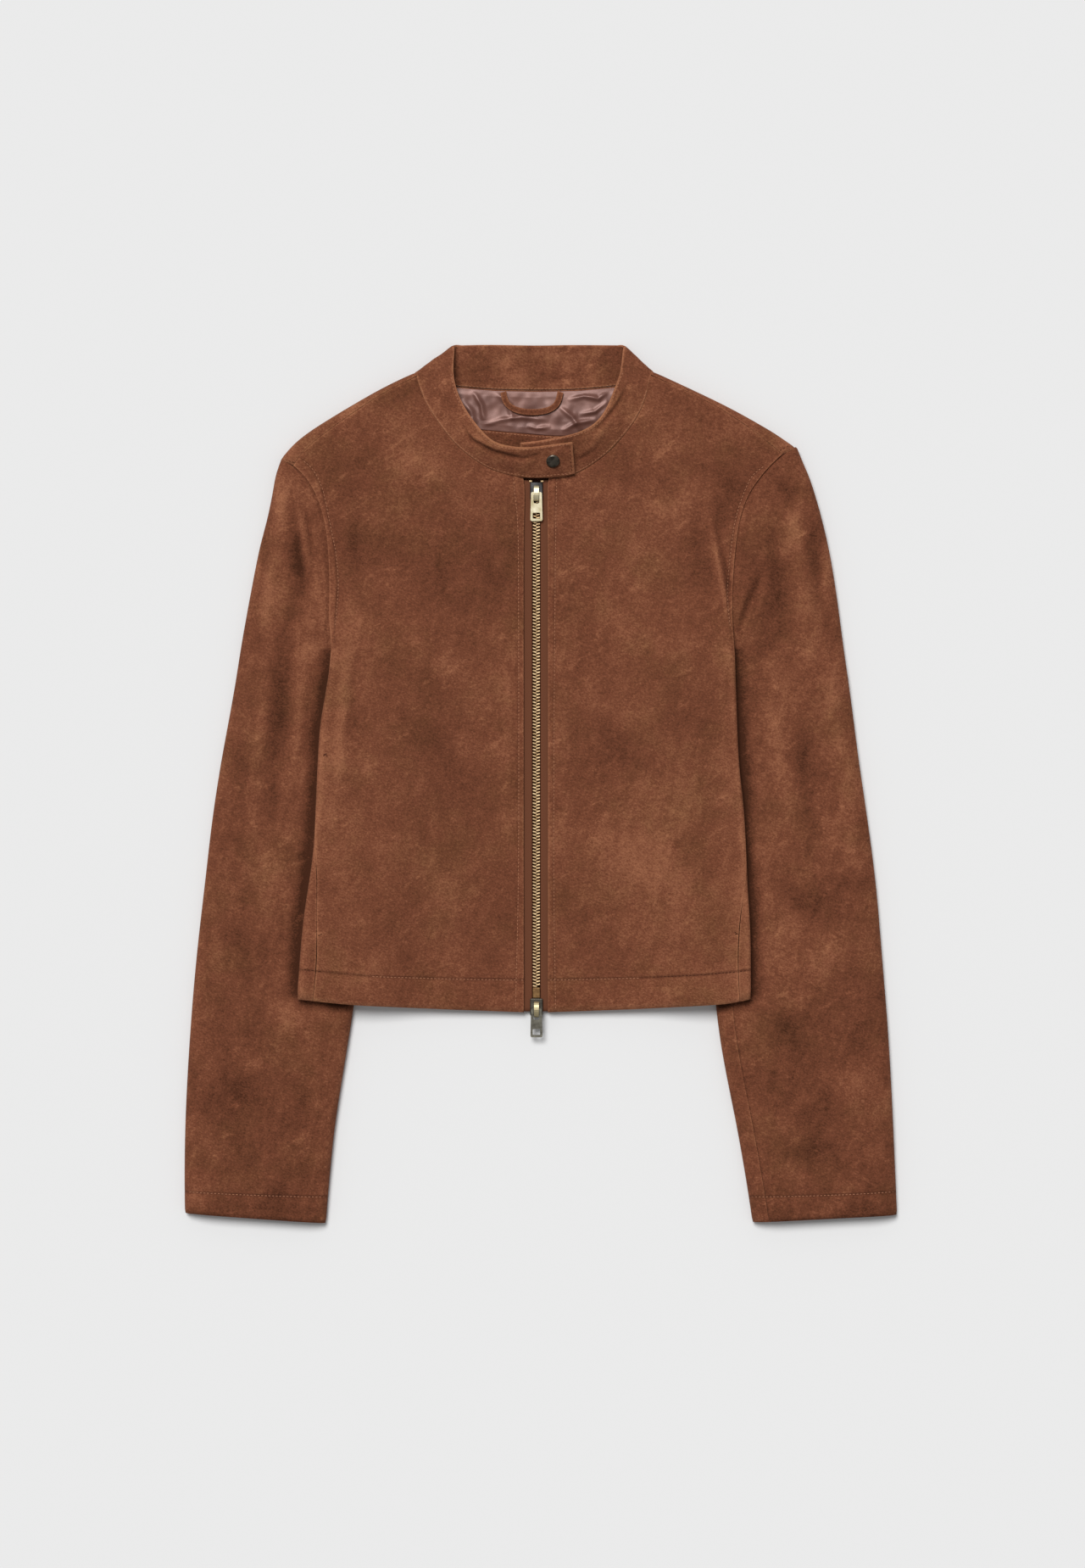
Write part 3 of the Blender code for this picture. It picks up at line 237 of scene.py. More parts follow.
def quilt(grids, flip):
    """Joins grids of rows into one list of points and faces, and merges the rows they share."""
    mesh = bmesh.new()
    for rows in grids:
        lines = [[mesh.verts.new(point) for point in row] for row in rows]
        for lower, upper in zip(lines, lines[1:]):
            for a, b, c, d in zip(lower, lower[1:], upper[1:], upper):
                mesh.faces.new((a, d, c, b) if flip else (a, b, c, d))
    bmesh.ops.remove_doubles(mesh, verts=mesh.verts[:], dist=0.01)
    mesh.verts.index_update()
    points = [vert.co.copy() for vert in mesh.verts]
    faces = [[vert.index for vert in face.verts] for face in mesh.faces]
    mesh.free()
    return points, faces


def new_piece(name, points, faces, material=None):
    """Puts a new mesh in the scene, its points in metres."""
    mesh = bpy.data.meshes.new(name)
    mesh.from_pydata(points, [], faces)
    if material:
        mesh.materials.append(material)
    piece = bpy.data.objects.new(name, mesh)
    bpy.context.scene.collection.objects.link(piece)
    return piece


def apply_modifiers(piece):
    """Applies what a piece's modifiers do, with nothing else selected."""
    bpy.ops.object.select_all(action="DESELECT")
    piece.select_set(True)
    bpy.context.view_layer.objects.active = piece
    for modifier in list(piece.modifiers):
        bpy.ops.object.modifier_apply(modifier=modifier.name)


def distance_along(spots, line):
    """Distance of points, seen from above, to a line, below zero on its right, and the share of its length."""
    line = np.array(line, float)
    nearest = np.full(len(spots), 1e9)
    side = np.ones(len(spots))
    along = np.zeros(len(spots))
    passed = 0.0
    for start, end in zip(line, line[1:]):
        step = end - start
        length = np.linalg.norm(step)
        share = np.clip((spots - start) @ step / length ** 2, 0, 1)
        off = spots - (start + share[:, None] * step)
        distance = np.linalg.norm(off, axis=1)
        near = distance < nearest
        nearest = np.where(near, distance, nearest)
        side = np.where(near, np.sign(step[0] * off[:, 1] - step[1] * off[:, 0] + 1e-9), side)
        along = np.where(near, passed + share * length, along)
        passed += length
    return nearest * side, along / passed


def fold_height(spots, folds):
    """Height of the listed folds, each fading out towards its two ends."""
    height = np.zeros(len(spots))
    for line, half_width, rise in folds:
        distance, share = distance_along(spots, line)
        height += rise * np.sin(np.pi * share) ** 0.8 * np.exp(-(distance / half_width) ** 2)
    return height


def waviness(points, size, seed):
    """Smooth unevenness between about -1 and 1, with waves of a size."""
    return np.array([noise.noise(Vector((x / size + seed, y / size, z / size))) for x, y, z in points])


def patch_tone(spots, patches):
    """Lighter and darker patches: centre, two radii, turn in degrees and how much lighter."""
    tone = np.zeros(len(spots))
    for x, y, long, short, turn, amount in patches:
        cos, sin = math.cos(math.radians(turn)), math.sin(math.radians(turn))
        off = spots - np.array((x, y))
        first = (off[:, 0] * cos + off[:, 1] * sin) / long
        second = (off[:, 1] * cos - off[:, 0] * sin) / short
        tone += amount * np.exp(-(first ** 2 + second ** 2))
    return tone


def edge_distance(mesh, points):
    """Distance of every point to the piece's cut edge."""
    edges = bmesh.new()
    edges.from_mesh(mesh)
    rim = [vert.index for vert in edges.verts if vert.is_boundary]
    edges.free()
    tree = KDTree(len(rim))
    for index in rim:
        tree.insert(points[index], index)
    tree.balance()
    return np.array([tree.find(point)[2] for point in points])


def vertex_values(mesh, name):
    """Reads a vector of each vertex."""
    values = np.zeros(len(mesh.vertices) * 3, np.float32)
    mesh.vertices.foreach_get(name, values)
    return values.reshape(-1, 3)


def cloth(node, grids, flip, relief, lines=None, patches=(), wall=SUEDE, material=None, slot_name="brown_suede",
          lift=0.0, levels=2, edge_wear_and_painted_light=0.35, shade=None, mottle=1.0):
    """Makes one laid piece of cloth: rounds it, gives it its folds, its wall and softly rounded edges.

    It stands in for a node of the frame. relief takes the points and normals and gives the height of the
    folds, and shade the painted light and shade there, how much lighter the cloth is painted. lines are the
    stitched lines that its material reads, patches its lighter and darker spots, partly painted light and
    shade, the edge value a paler rim of wear and painted highlight along its cut edge, or a rim of painted
    shade when below zero, and mottle how strongly its nap is clouded.
    """
    points, faces = quilt(grids, flip)
    piece = new_piece(node + "_cloth", [Vector(point) * MM for point in points], faces)
    rounder = piece.modifiers.new("rounder", "SUBSURF")
    rounder.levels = rounder.render_levels = levels
    rounder.boundary_smooth = "PRESERVE_CORNERS"
    apply_modifiers(piece)
    mesh = piece.data
    laid = vertex_values(mesh, "co").astype(float) / MM
    normals = vertex_values(mesh, "normal").astype(float)
    count = len(laid)
    from_edge = edge_distance(mesh, laid)
    height = relief(laid, normals) * np.clip(from_edge / RELIEF_FADE, 0, 1) if relief else np.zeros(count)
    fields = {field: np.full(count, FAR) for field in ("hem_line", "zip_line", "seam_line")}
    for field, line in (lines or {}).items():
        fields[field] = distance_along(laid[:, :2], line)[0]
    sewn = sum(np.exp(-(distance / GROOVE) ** 2) for distance in fields.values())
    sewn *= np.clip(normals[:, 2], 0, 1) * np.clip(from_edge / 2, 0, 1) * (GROOVE_DEPTH + 0.2 * waviness(laid, 5, 2.0))
    laid = laid + normals * (height + lift - sewn)[:, None]
    laid[:, 2] = np.maximum(laid[:, 2], 0.0)
    mesh.vertices.foreach_set("co", (laid * MM).astype(np.float32).ravel())
    # tone holds the patches, painted highlight on rising folds and painted shade in sinking ones, the piece's painted
    # light and shade, and the rim of wear and painted light along the cut edge
    fields["tone"] = (patch_tone(laid[:, :2], patches) + FOLD_PAINTED_LIGHT * height + (shade(laid, normals) if shade else 0.0)
                      + edge_wear_and_painted_light * np.exp(-(from_edge / EDGE_RIM_WIDTH) ** 2))
    fields["mottle"] = np.full(count, mottle)
    for field, values in fields.items():
        mesh.attributes.new(field, "FLOAT", "POINT").data.foreach_set("value", values.astype(np.float32))
    mesh.update()
    shell = piece.modifiers.new("wall", "SOLIDIFY")
    shell.thickness = wall * MM
    shell.offset = -1.0
    shell.use_rim = True
    apply_modifiers(piece)
    mesh = piece.data
    whole = vertex_values(mesh, "co")
    radius = min(EDGE_ROUND, wall * 0.45)
    sunk = radius - np.sqrt(np.clip(radius ** 2 - np.clip(radius - from_edge, 0, radius) ** 2, 0, None))
    inward = whole[count:] - whole[:count]
    inward /= np.maximum(np.linalg.norm(inward, axis=1), 1e-9)[:, None]
    whole[:count] += inward * (sunk * MM)[:, None]
    whole[count:] -= inward * (sunk * MM)[:, None]
    mesh.vertices.foreach_set("co", whole.ravel())
    mesh.materials.append(material or suede)
    mesh.shade_smooth()
    mesh.update()
    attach(piece, "jacket")
    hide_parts(node)
    return piece


def sleeve_rise(radius, inset, from_inner=None):
    """How far the sleeve's upper ply stands above its outer fold."""
    rise = SLEEVE_TOP - 2 * radius
    for distance in (inset, from_inner):
        if distance is not None:
            rise *= 1 - (1 - min(distance / PUFF_WIDTH, 1.0)) ** 4
    return rise


def inner_seam(side, index):
    """Travel of the inner seam over the inner fold, at one row of the sleeve."""
    if index < OPEN_ROWS:
        return FIRST_INNER_CURL
    return FIRST_INNER_SEAM + (INNER_SEAM[side] - FIRST_INNER_SEAM) * ease((index - OPEN_ROWS) / 4)


def elbow_seam(row):
    """How far the elbow seam lies from the outer fold's flat edge, on the underside."""
    outer, _, under, radius = row
    return min(OUTER_SEAM, 0.5 * ((under - outer).length - radius))


def sleeve_upper_row(side, index, row):
    """One section of the upper ply, from the elbow seam over the top to the inner seam."""
    outer, end, under, radius = row
    width = (end - outer).length
    above = (end - outer).normalized()
    below = (under - outer).normalized()
    closed = index >= OPEN_ROWS
    quarter = radius * math.pi / 2
    past_fold = min(2.0, 0.1 * width)
    points = []
    for travel in spread(-quarter - elbow_seam(row), quarter + past_fold, 9):
        inset, drop = across_fold(radius, travel)
        plan = outer + (above if travel > 0 else below) * inset
        rise = sleeve_rise(radius, inset) if travel > 0 else 0.0
        points.append((plan.x, plan.y, 2 * radius - drop + rise))
    seam_height = body_top(end.x, end.y)
    flush = ease((end.y - 112) / 15)

    def top_point(inset, drop=0.0):
        from_inner = width - inset
        height = 2 * radius + sleeve_rise(radius, inset, from_inner if closed else None)
        if not closed:
            height += (seam_height - height) * flush * ease(1 - from_inner / 28)
            height -= TUCK_DROP * max(flush, 0.15) * ease(1 - from_inner / 3.5)
        plan = outer + above * inset
        return (plan.x, plan.y, height - drop)

    inner_radius = radius if closed else 0.0
    last = inner_seam(side, index) if closed else GAP / 2
    first = max(inner_radius * math.pi / 2, last) + min(FOLD_STRIP, 0.2 * width)
    travels = toward_edge(first, last, 9)
    edge = [across_fold(inner_radius, travel) for travel in travels]
    points += [top_point(inset) for inset in spread(radius + past_fold, width - edge[0][0], 18)[1:-1]]
    for travel, (inset, drop) in zip(travels, edge):
        if travel < 0:
            plan = end - above * inset
            points.append((plan.x, plan.y, 2 * radius - drop))
        else:
            points.append(top_point(width - inset, drop))
    if closed:
        points.insert(-1, tuple((Vector(points[-1]) + Vector(points[-2])) / 2))
    else:
        points.append(top_point(width + UNDERARM_TUCKS.get(index, TUCK)))
    return points


def sleeve_under_row(side, index, row):
    """One section of the under ply, from the elbow seam to the inner seam or the back armhole."""
    outer, _, end, radius = row
    width = (end - outer).length
    inward = (end - outer).normalized()
    start = radius + elbow_seam(row) + GAP
    strip = min(FOLD_STRIP, 0.5 * (width - start))
    if index >= CAP_ROWS:
        last = inner_seam(side, index) - GAP - UNDERARM_EASE * (1 - ease((index - OPEN_ROWS) / 2))
        travels = toward_edge(-radius * math.pi / 2 - strip, last, 9)
        edge = [across_fold(radius, travel) for travel in travels]
    else:
        travels = spread(-strip, -GAP / 2, 9)
        edge = [(-travel, 2 * radius) for travel in travels]
    points = [(outer + inward * inset).to_3d() for inset in spread(start, width - edge[0][0], 7)[:-1]]
    for travel, (inset, drop) in zip(travels, edge):
        plan = end - inward * inset
        rise = sleeve_rise(radius, width - inset, inset) if travel > 0 else 0.0
        points.append((plan.x, plan.y, 2 * radius - drop + rise))
    return points


def drawn_in(row, middle, width, height, shift):
    """A section again, drawn in towards a middle and pushed a little way along."""
    result = []
    for point in row:
        off = Vector(point) - middle
        result.append(middle + Vector((off.x * width, off.y * width, off.z * height)) + shift)
    return result


def tucked_end(row):
    """The sleeve's first section again, drawn in and pushed a little way into the shoulder's fold."""
    points = [Vector(point) for point in row]
    middle = sum(points, Vector()) / len(points)
    middle.z = 6.0
    across = (points[0].xy - points[-1].xy).normalized()
    upward = Vector((-across.y, across.x, 0.0))
    if upward.y < 0:
        upward = -upward
    return drawn_in(points, middle, 0.86, 0.62, upward * 2.6)


def linear(red, green, blue):
    """A colour as seen on a screen, 0 to 255, in the shader's linear values."""
    def one(value):
        value /= 255
        return value / 12.92 if value <= 0.04045 else ((value + 0.055) / 1.055) ** 2.4
    return (one(red), one(green), one(blue), 1.0)


def node_material(name):
    """Starts a material and gives three functions.

    add puts in a node, with its settings and what its inputs get, and gives one of its outputs. ramp turns a
    value into colours, each at its place. finish fills the shader's inputs, with a bump from a height.
    """
    material = bpy.data.materials.new(name)
    material.use_nodes = True
    tree = material.node_tree

    def fill(node, settings):
        for key, value in settings.items():
            if isinstance(key, str) and hasattr(node, key):
                setattr(node, key, value)
            elif isinstance(value, bpy.types.NodeSocket):
                tree.links.new(value, node.inputs[key])
            else:
                node.inputs[key].default_value = value
        return node

    def add(kind, settings, out=0):
        return fill(tree.nodes.new("ShaderNode" + kind), settings).outputs[out]

    def ramp(value, *stops):
        node = fill(tree.nodes.new("ShaderNodeValToRGB"), {0: value})
        elements = node.color_ramp.elements
        elements[0].position, elements[1].position = stops[0][0], stops[-1][0]
        for position, colour in stops[1:-1]:
            elements.new(position)
        for element, (position, colour) in zip(elements, stops):
            element.color = linear(*colour)
        return node.outputs[0]

    def finish(settings, height=None, strength=0.0, depth=0.0):
        if height is not None:
            bump = add("Bump", {"Strength": strength, "Distance": depth * MM, "Height": height})
            settings = {**settings, "Normal": bump}
        fill(tree.nodes["Principled BSDF"], settings)
        return material

    return add, ramp, finish


def make_suede():
    """Brown suede: a mottled, brushed nap with a fine pebble, paler where it is rubbed, darkened along its stitched
    grooves as painted shade, and carrying the painted light and shade of each piece's tone.
    """
    add, ramp, finish = node_material("suede")
    place = add("TexCoord", {}, "Object")

    def cloud(size, detail, rough, stretch=(1, 1, 1), turn=0.0, shift=0.0):
        turned = add("Mapping", {"Rotation": (0, 0, math.radians(turn)), "Location": (shift, shift, 0), 0: place})
        scaled = add("Mapping", {"Scale": stretch, 0: turned})
        return add("TexNoise", {"Scale": 1 / (size * MM), "Detail": detail, "Roughness": rough, 0: scaled})

    def above(low, high, source, most=1.0):
        return add("MapRange", {"From Min": low, "From Max": high, "To Max": most, 0: source})

    def calc(operation, first, second=0.0):
        return add("Math", {"operation": operation, 0: first, 1: second})

    def times(source, amount):
        return calc("MULTIPLY", source, amount)

    def centred(source, amount):
        return times(calc("SUBTRACT", source, 0.5), amount)

    def total(*sources):
        result = sources[0]
        for source in sources[1:]:
            result = calc("ADD", result, source)
        return result

    def field(name):
        return add("Attribute", {"attribute_name": name}, "Fac")

    def groove(name, width):
        scaled = times(field(name), 1 / width)
        return calc("EXPONENT", times(times(scaled, scaled), -1.0))

    def darkened(colour, amount, tint):
        return add("Mix", {"data_type": "RGBA", "blend_type": "MULTIPLY", 0: amount, 6: colour, 7: tint}, 2)

    broad = cloud(70, 8, 0.62)
    patches = cloud(24, 9, 0.66, shift=0.3)
    strokes = cloud(13, 8, 0.66, (1.7, 0.5, 1), 14, 0.7)
    brushed = cloud(4.5, 6, 0.7, (0.8, 1.4, 1), -6, 1.1)
    nap = cloud(0.9, 3, 0.7)
    pebble = cloud(1.5, 3, 0.6, (0.8, 1.15, 1), 24, 0.5)
    rubbed = above(0.58, 0.74, cloud(17, 10, 0.70, (0.5, 1.6, 1), -34, 2.0))
    scratch = above(0.68, 0.78, cloud(7, 5, 0.6, (0.14, 2.4, 1), -24, 5.0))
    specks = above(0.60, 0.68, cloud(9, 8, 0.66, (0.7, 1.3, 1), 20, 8.0))
    smoky = above(0.48, 0.70, cloud(40, 8, 0.64, shift=4.0), 0.5)
    clouded = total(centred(broad, 0.50), centred(patches, 0.38), centred(strokes, 0.40), times(specks, 0.13))
    # tone brings in each piece's patches and its painted light and shade
    value = total(times(clouded, field("mottle")), centred(brushed, 0.46), centred(nap, 0.66), centred(pebble, 0.84),
                  times(rubbed, 0.34), times(scratch, 0.28), times(field("tone"), 0.5), 0.475)
    napped = ramp(value, (0.0, (68, 36, 21)), (0.5, (116, 67, 46)), (1.0, (162, 106, 76)))
    sewn = total(times(groove("hem_line", 1.1), 1.5), times(groove("zip_line", 0.9), 0.4), groove("seam_line", 0.8))
    toned = darkened(napped, smoky, (0.74, 0.88, 0.70, 1.0))
    # Painted shade: the nap is darkened along the stitched grooves
    shaded = darkened(toned, times(sewn, 0.42), (0.45, 0.40, 0.38, 1.0))
    height = total(centred(nap, 0.16), centred(pebble, 0.30), centred(brushed, 0.55), centred(strokes, 1.2),
                   times(sewn, -0.35))
    return finish({"Base Color": shaded, "Roughness": 0.95, "Specular IOR Level": 0.15, "Sheen Weight": 0.18,
                   "Sheen Roughness": 0.45, "Sheen Tint": linear(224, 160, 124)}, height, 0.9, 1.0)


suede = make_suede()
# Lighter and darker patches: centre, two radii, turn in degrees and how much lighter. Besides the nap's own patches and
# pale marks they hold painted highlight and painted shade along the sleeves' folds, and a darker band at each cuff
SLEEVE_PATCHES = {
    -1: ((-232, -240, 60, 110, 0, -0.14), (-200, -80, 40, 16, 60, 0.12),
         (-196, 185, 7, 34, 4, -0.42), (-208, 220, 6, 36, 8, 0.30), (-224, 150, 8, 60, 8, 0.22),
         (-178, 190, 8, 22, 6, 0.12), (-198, 60, 8, 50, -4, 0.14), (-210, 90, 8, 44, 6, -0.22),
         (-240, 30, 10, 60, 6, -0.10), (-225, -20, 9, 50, 6, 0.14),
         (-261, -217, 6, 3, 50, 0.38), (-229, -224, 3, 7, -30, 0.34), (-215, -221, 5, 3, 20, 0.30),
         (-248, -256, 7, 3, -40, 0.34), (-181, -255, 3, 8, -24, 0.34), (-213, -276, 7, 4, 20, 0.36),
         (-203, -296, 9, 4, -30, 0.30), (-238, -292, 14, 9, 10, -0.22), (-230, -342, 70, 12, 0, -0.28),
         (-262, -120, 6, 24, 8, 0.20), (-236, -150, 7, 22, 4, -0.18)),
    1: ((228, -240, 60, 110, 0, -0.26), (203, 214, 7, 30, -12, 0.34), (217, 190, 7, 30, -10, -0.34),
        (227, 160, 6, 50, -8, 0.28), (184, 175, 14, 26, 0, -0.24), (196, 236, 9, 8, -30, -0.26),
        (190, 60, 12, 60, -6, 0.14), (214, 40, 8, 60, -8, -0.18), (205, 140, 10, 20, -8, 0.20),
        (181, -214, 4, 9, 20, 0.30), (212, -255, 8, 4, 30, 0.32), (236, -275, 4, 10, -30, 0.30),
        (205, -312, 12, 5, 0, 0.30), (246, -322, 9, 5, 20, 0.28), (226, -346, 70, 11, 0, -0.28),
        (252, -60, 22, 1.6, 30, 0.42), (226, -150, 7, 24, -6, 0.18), (206, -190, 14, 12, 0, -0.18)),
}
# The outline of the body where it lies on the sleeves: heights, and how far out it reaches at each
BODY_EDGES = {
    -1: ((-190, -171.5, -105, -15, 45, 94, 108, 118), (60, 196, 191, 181, 178, 170, 168, 60)),
    1: ((-190, -171.5, -105, -15, 45, 94, 108, 118), (60, 169, 168, 162, 158, 156, 155, 60)),
}
HEM_CORNER = {-1: 199.0, 1: 172.0}  # how far out the hem's corners reach
sleeve_pieces = {}
for side, sleeve_name, folds in ((-1, "sleeve_left", LEFT_SLEEVE_FOLDS), (1, "sleeve_right", RIGHT_SLEEVE_FOLDS)):
    table = list(enumerate(sleeve_table(side)))
    upper_rows = [sleeve_upper_row(side, index, row) for index, row in table]
    upper_rows.insert(0, tucked_end(upper_rows[0]))
    under_rows = [sleeve_under_row(side, index, row) for index, row in table]
    cuff_line = ((side * 300.0, -326.0), (side * 230.0, -329.0), (side * 150.0, -331.0))

    def sleeve_relief(points, normals, folds=folds, side=side):
        """Folds on the sleeve's top, none where the body lies on it, and shallow dents underneath."""
        plan = points[:, :2]
        y = plan[:, 1]
        reach = np.abs(plan[:, 0])
        beyond = reach - np.interp(y, *BODY_EDGES[side])
        upward = np.clip(normals[:, 2], 0, 1)
        top = np.clip(normals[:, 2] * 1.6 - 0.3, 0, 1) * np.clip((beyond - 3) / 10, 0, 1)
        bottom = np.clip(-normals[:, 2] * 2 - 0.8, 0, 1)
        soft = 0.7 * waviness(points, 34, 3.0 + side) + 0.4 * waviness(points, 15, 8.0 + side)
        dents = fold_height(np.column_stack((reach, y)), UNDER_SLEEVE_FOLDS)
        beside = np.clip((116 - y) / 12, 0, 1) * np.clip((y + 180) / 8, 0, 1)
        pressed = -2.4 * beside * np.exp(-((beyond - 2) / 6.5) ** 2) * upward
        below_hem = np.exp(-((y + 173) / 5) ** 2) * np.clip((HEM_CORNER[side] - reach) / 6, 0, 1)
        pressed -= 1.6 * below_hem * upward
        return top * (fold_height(plan, folds) + soft) + pressed + bottom * dents

    def sleeve_painted_shade(points, normals, side=side):
        """Painted shade: darker beside the body's edge where it rests on the sleeve, and just below the hem."""
        reach, y = np.abs(points[:, 0]), points[:, 1]
        beside = np.clip((122 - y) / 16, 0, 1) * np.clip((y + 182) / 8, 0, 1)
        shade = -0.62 * beside * np.exp(-((reach - np.interp(y, *BODY_EDGES[side])) / 4.5) ** 2)
        shade -= 0.5 * np.exp(-((y + 174) / 4) ** 2) * np.clip((HEM_CORNER[side] - reach) / 6, 0, 1)
        return shade * (normals[:, 2] > 0)

    # Painted shade lies on the sleeves beside the body's edge and below the hem; the upper ply's cut edges get a darker
    # rim of painted shade, the under ply's a paler rim of wear and painted highlight
    look = {"lines": {"hem_line": cuff_line}, "patches": SLEEVE_PATCHES[side], "shade": sleeve_painted_shade, "mottle": 1.35}
    upper = cloth(sleeve_name + "_upper", [finer(upper_rows)], side < 0, sleeve_relief, edge_wear_and_painted_light=-0.25, **look)
    under = cloth(sleeve_name + "_under", [finer(under_rows)], side > 0, sleeve_relief, **look)
    sleeve_pieces[side] = (upper, under)


# The back. One piece of suede, flat on the surface, that wraps to the front in a strip over each
# shoulder and up over the sleeves to the side seams.
SHOULDER_FOLD = 6.25  # radius of the fold along the shoulders, or less where the seam is nearer
SIDE_FOLD = 3.2       # radius of the body's side folds
# From the underarm to the hem: y, then the fold's x and the seam's travel over it, left and right
BODY_SIDES = (
    (94, -169.4, 0, 155.4, 0),
    (70, -173.5, -1.5, 156.4, -1.5),
    (45, -177.6, -2, 157.3, -2),
    (15, -179.3, -1.5, 158.8, -2),
    (-15, -180.4, 0, 162, -1),
    (-45, -182.3, 2.5, 163.8, 0.5),
    (-75, -185.8, 8.5, 165.8, 3),
    (-105, -190.9, 13, 167.8, 10.5),
    (-140, -194, 16.5, 168.3, 13),
    (-171.5, -195.9, 15, 168.3, 11.3),
)
# From the sleeve to the collar: fold point, seam point, and the strip's reach on the underside
LEFT_SHOULDER = (
    (-209.8, 260.9, -198.9, 256, 12),
    (-198.2, 275.4, -190.5, 268.5, 15),
    (-180, 288.2, -175, 281, 15),
    (-155, 303.2, -151, 298.4, 14),
    (-127.8, 319, -125, 315.2, 10),
    (-102.3, 330.8, -100.3, 327.1, 6.3),
)
RIGHT_SHOULDER = (
    (205.4, 270, 193.5, 265, 12.6),
    (189.7, 281.2, 182, 274.4, 15),
    (178, 288.2, 173.2, 281.9, 15),
    (152, 302.8, 149.2, 298.6, 14),
    (124, 316, 122.2, 313.2, 10),
    (90.8, 331.5, 89, 327.7, 6.3),
)
HEM = ((-195.9, -171.5), (-151, -176.3), (-80, -180), (-4, -183), (80, -179.8), (146.5, -175.6),
       (168.3, -171.5))
# The back of the neck: the seam, and the free edge above it
BACK_NECK = ((-70, 320.4), (-38, 317.9), (-5, 317.2), (30, 317.9), (61, 320.6))
BACK_FREE = ((-48, 353.9), (-26, 353.7), (-2, 353.2), (22, 353.8), (46, 353.6))
# Soft dents of the back, which lie up off the surface
BACK_FOLDS = (
    (((-120, 150), (-60, 120), (0, 130)), 14, -0.9),
    (((120, 130), (70, 90), (10, 80)), 12, -0.8),
    (((-90, 20), (-40, -20), (20, -30)), 13, -0.9),
    (((90, -10), (60, -70), (50, -120)), 11, -0.7),
    (((-60, -90), (-30, -130), (10, -150)), 12, -0.8),
    (((-40, 240), (0, 228), (50, 236)), 10, -0.6),
)
CLIMB = 11.0         # half the width in which the back climbs over a sleeve's inner fold
BACK_INSET = 0.6     # how far the back's underside ends above the hem


def side_table(side):
    """The rows of one body side: height, fold and seam, from the underarm to the hem."""
    first = 1 if side < 0 else 3
    return [(row[0], row[first], row[first + 1]) for row in BODY_SIDES]


def side_gap(seam):
    """The gap at the body's side seam, from how far it lies over the fold."""
    return GAP if seam > SIDE_FOLD * math.pi / 2 + 1 else FOLD_GAP


def shoulder_table(side):
    """The rows of one shoulder as fold point, seam point and reach of the strip on the underside."""
    rows = LEFT_SHOULDER if side < 0 else RIGHT_SHOULDER
    return [(Vector(row[0:2]), Vector(row[2:4]), row[4]) for row in rows]


def coons(bottom, top, left, right, shares=None):
    """Fills four edges with rows of points, from the bottom row to the top one."""
    shares = shares or spread(0, 1, len(bottom))
    up = len(left) - 1
    rows = []
    for j in range(up + 1):
        v = j / up
        row = []
        for i, u in enumerate(shares):
            ruled = bottom[i] * (1 - v) + top[i] * v + left[j] * (1 - u) + right[j] * u
            corners = (bottom[0] * (1 - u) + bottom[-1] * u) * (1 - v) + (top[0] * (1 - u) + top[-1] * u) * v
            row.append(ruled - corners)
        rows.append(row)
    return rows


def hem_point(x):
    """The hem's edge at x."""
    return Vector((x, read_line(HEM, x)))


def armhole_inward(side, points, index):
    """Direction from the front armhole into the front panel, square to the seam."""
    before = points[max(index - 1, 0)]
    after = points[min(index + 1, len(points) - 1)]
    along = (after - before).normalized()
    across = Vector((-along.y, along.x))
    return across if across.x * side < 0 else -across


def climb_share(share):
    """The back's rise over the edge of a sleeve, quick at first and level at the end."""
    share = min(share, 1.0)
    return 0.35 * ease(share) + 0.65 * math.sin(share * math.pi / 2)


def wing_rows(side):
    """The back's side part: up from the floor, over the sleeve, round the side fold to the side seam."""
    rows = []
    levels = side_table(side)
    levels.insert(0, (108.5, SLEEVES[side][CAP_ROWS - 1][2], UNDERARM_SEAM - UNDERARM_EASE))
    wing = SLEEVE_TOP + SIDE_LIFT - 2 * SIDE_FOLD
    for index, (y, fold, seam) in enumerate(levels):
        inner = inner_fold(side, y) if index else 105.0
        travels = toward_edge(-SIDE_FOLD * math.pi / 2 - 3, seam - side_gap(seam) / 2, 9)
        edge = [across_fold(SIDE_FOLD, travel) for travel in travels]
        reaches = spread(inner - CLIMB, inner + CLIMB, 7) + spread(inner + CLIMB, abs(fold) - edge[0][0], 4)[1:-1]
        row = [[side * reach, y, wing * climb_share((reach - inner + CLIMB) / (2 * CLIMB))] for reach in reaches]
        row += [[fold - side * inset, y, wing + 2 * SIDE_FOLD - drop] for inset, drop in edge]
        for point in row:
            reach = abs(point[0])
            if index == 0:
                point[1] -= 5 * min(ease((reach - (inner - CLIMB)) / 14), ease((abs(fold) - reach) / 14))
            elif index == len(levels) - 1:
                point[1] = hem_point(point[0]).y + (0.0 if point[2] > wing + SIDE_FOLD else BACK_INSET)
        rows.append(row)
    return rows


def shoulder_row(fold, seam, under):
    """One section of the back's shoulder strip, from the underside round the fold to the seam."""
    inward = (seam - fold).normalized()
    end = (seam - fold).length - GAP / 2
    depth = min(SHOULDER_FOLD, end - 2 * EDGE_STEP)
    row = [(under.x, under.y, 0.0)]
    for angle in spread(-math.pi / 2, math.pi / 2, 7):
        plan = fold + inward * depth * (1 - math.cos(angle))
        row.append((plan.x, plan.y, body_top(plan.x, plan.y) * (1 + math.sin(angle)) / 2))
    for inset in (end - EDGE_STEP, end):
        plan = fold + inward * inset
        row.append((plan.x, plan.y, body_top(plan.x, plan.y)))
    return row


def tucked_row(row, along):
    """A shoulder strip's last section again, pushed in under the collar."""
    middle = sum((Vector(point) for point in row), Vector()) / len(row)
    return drawn_in(row, middle, 0.7, 0.72, along.to_3d() * 1.8)


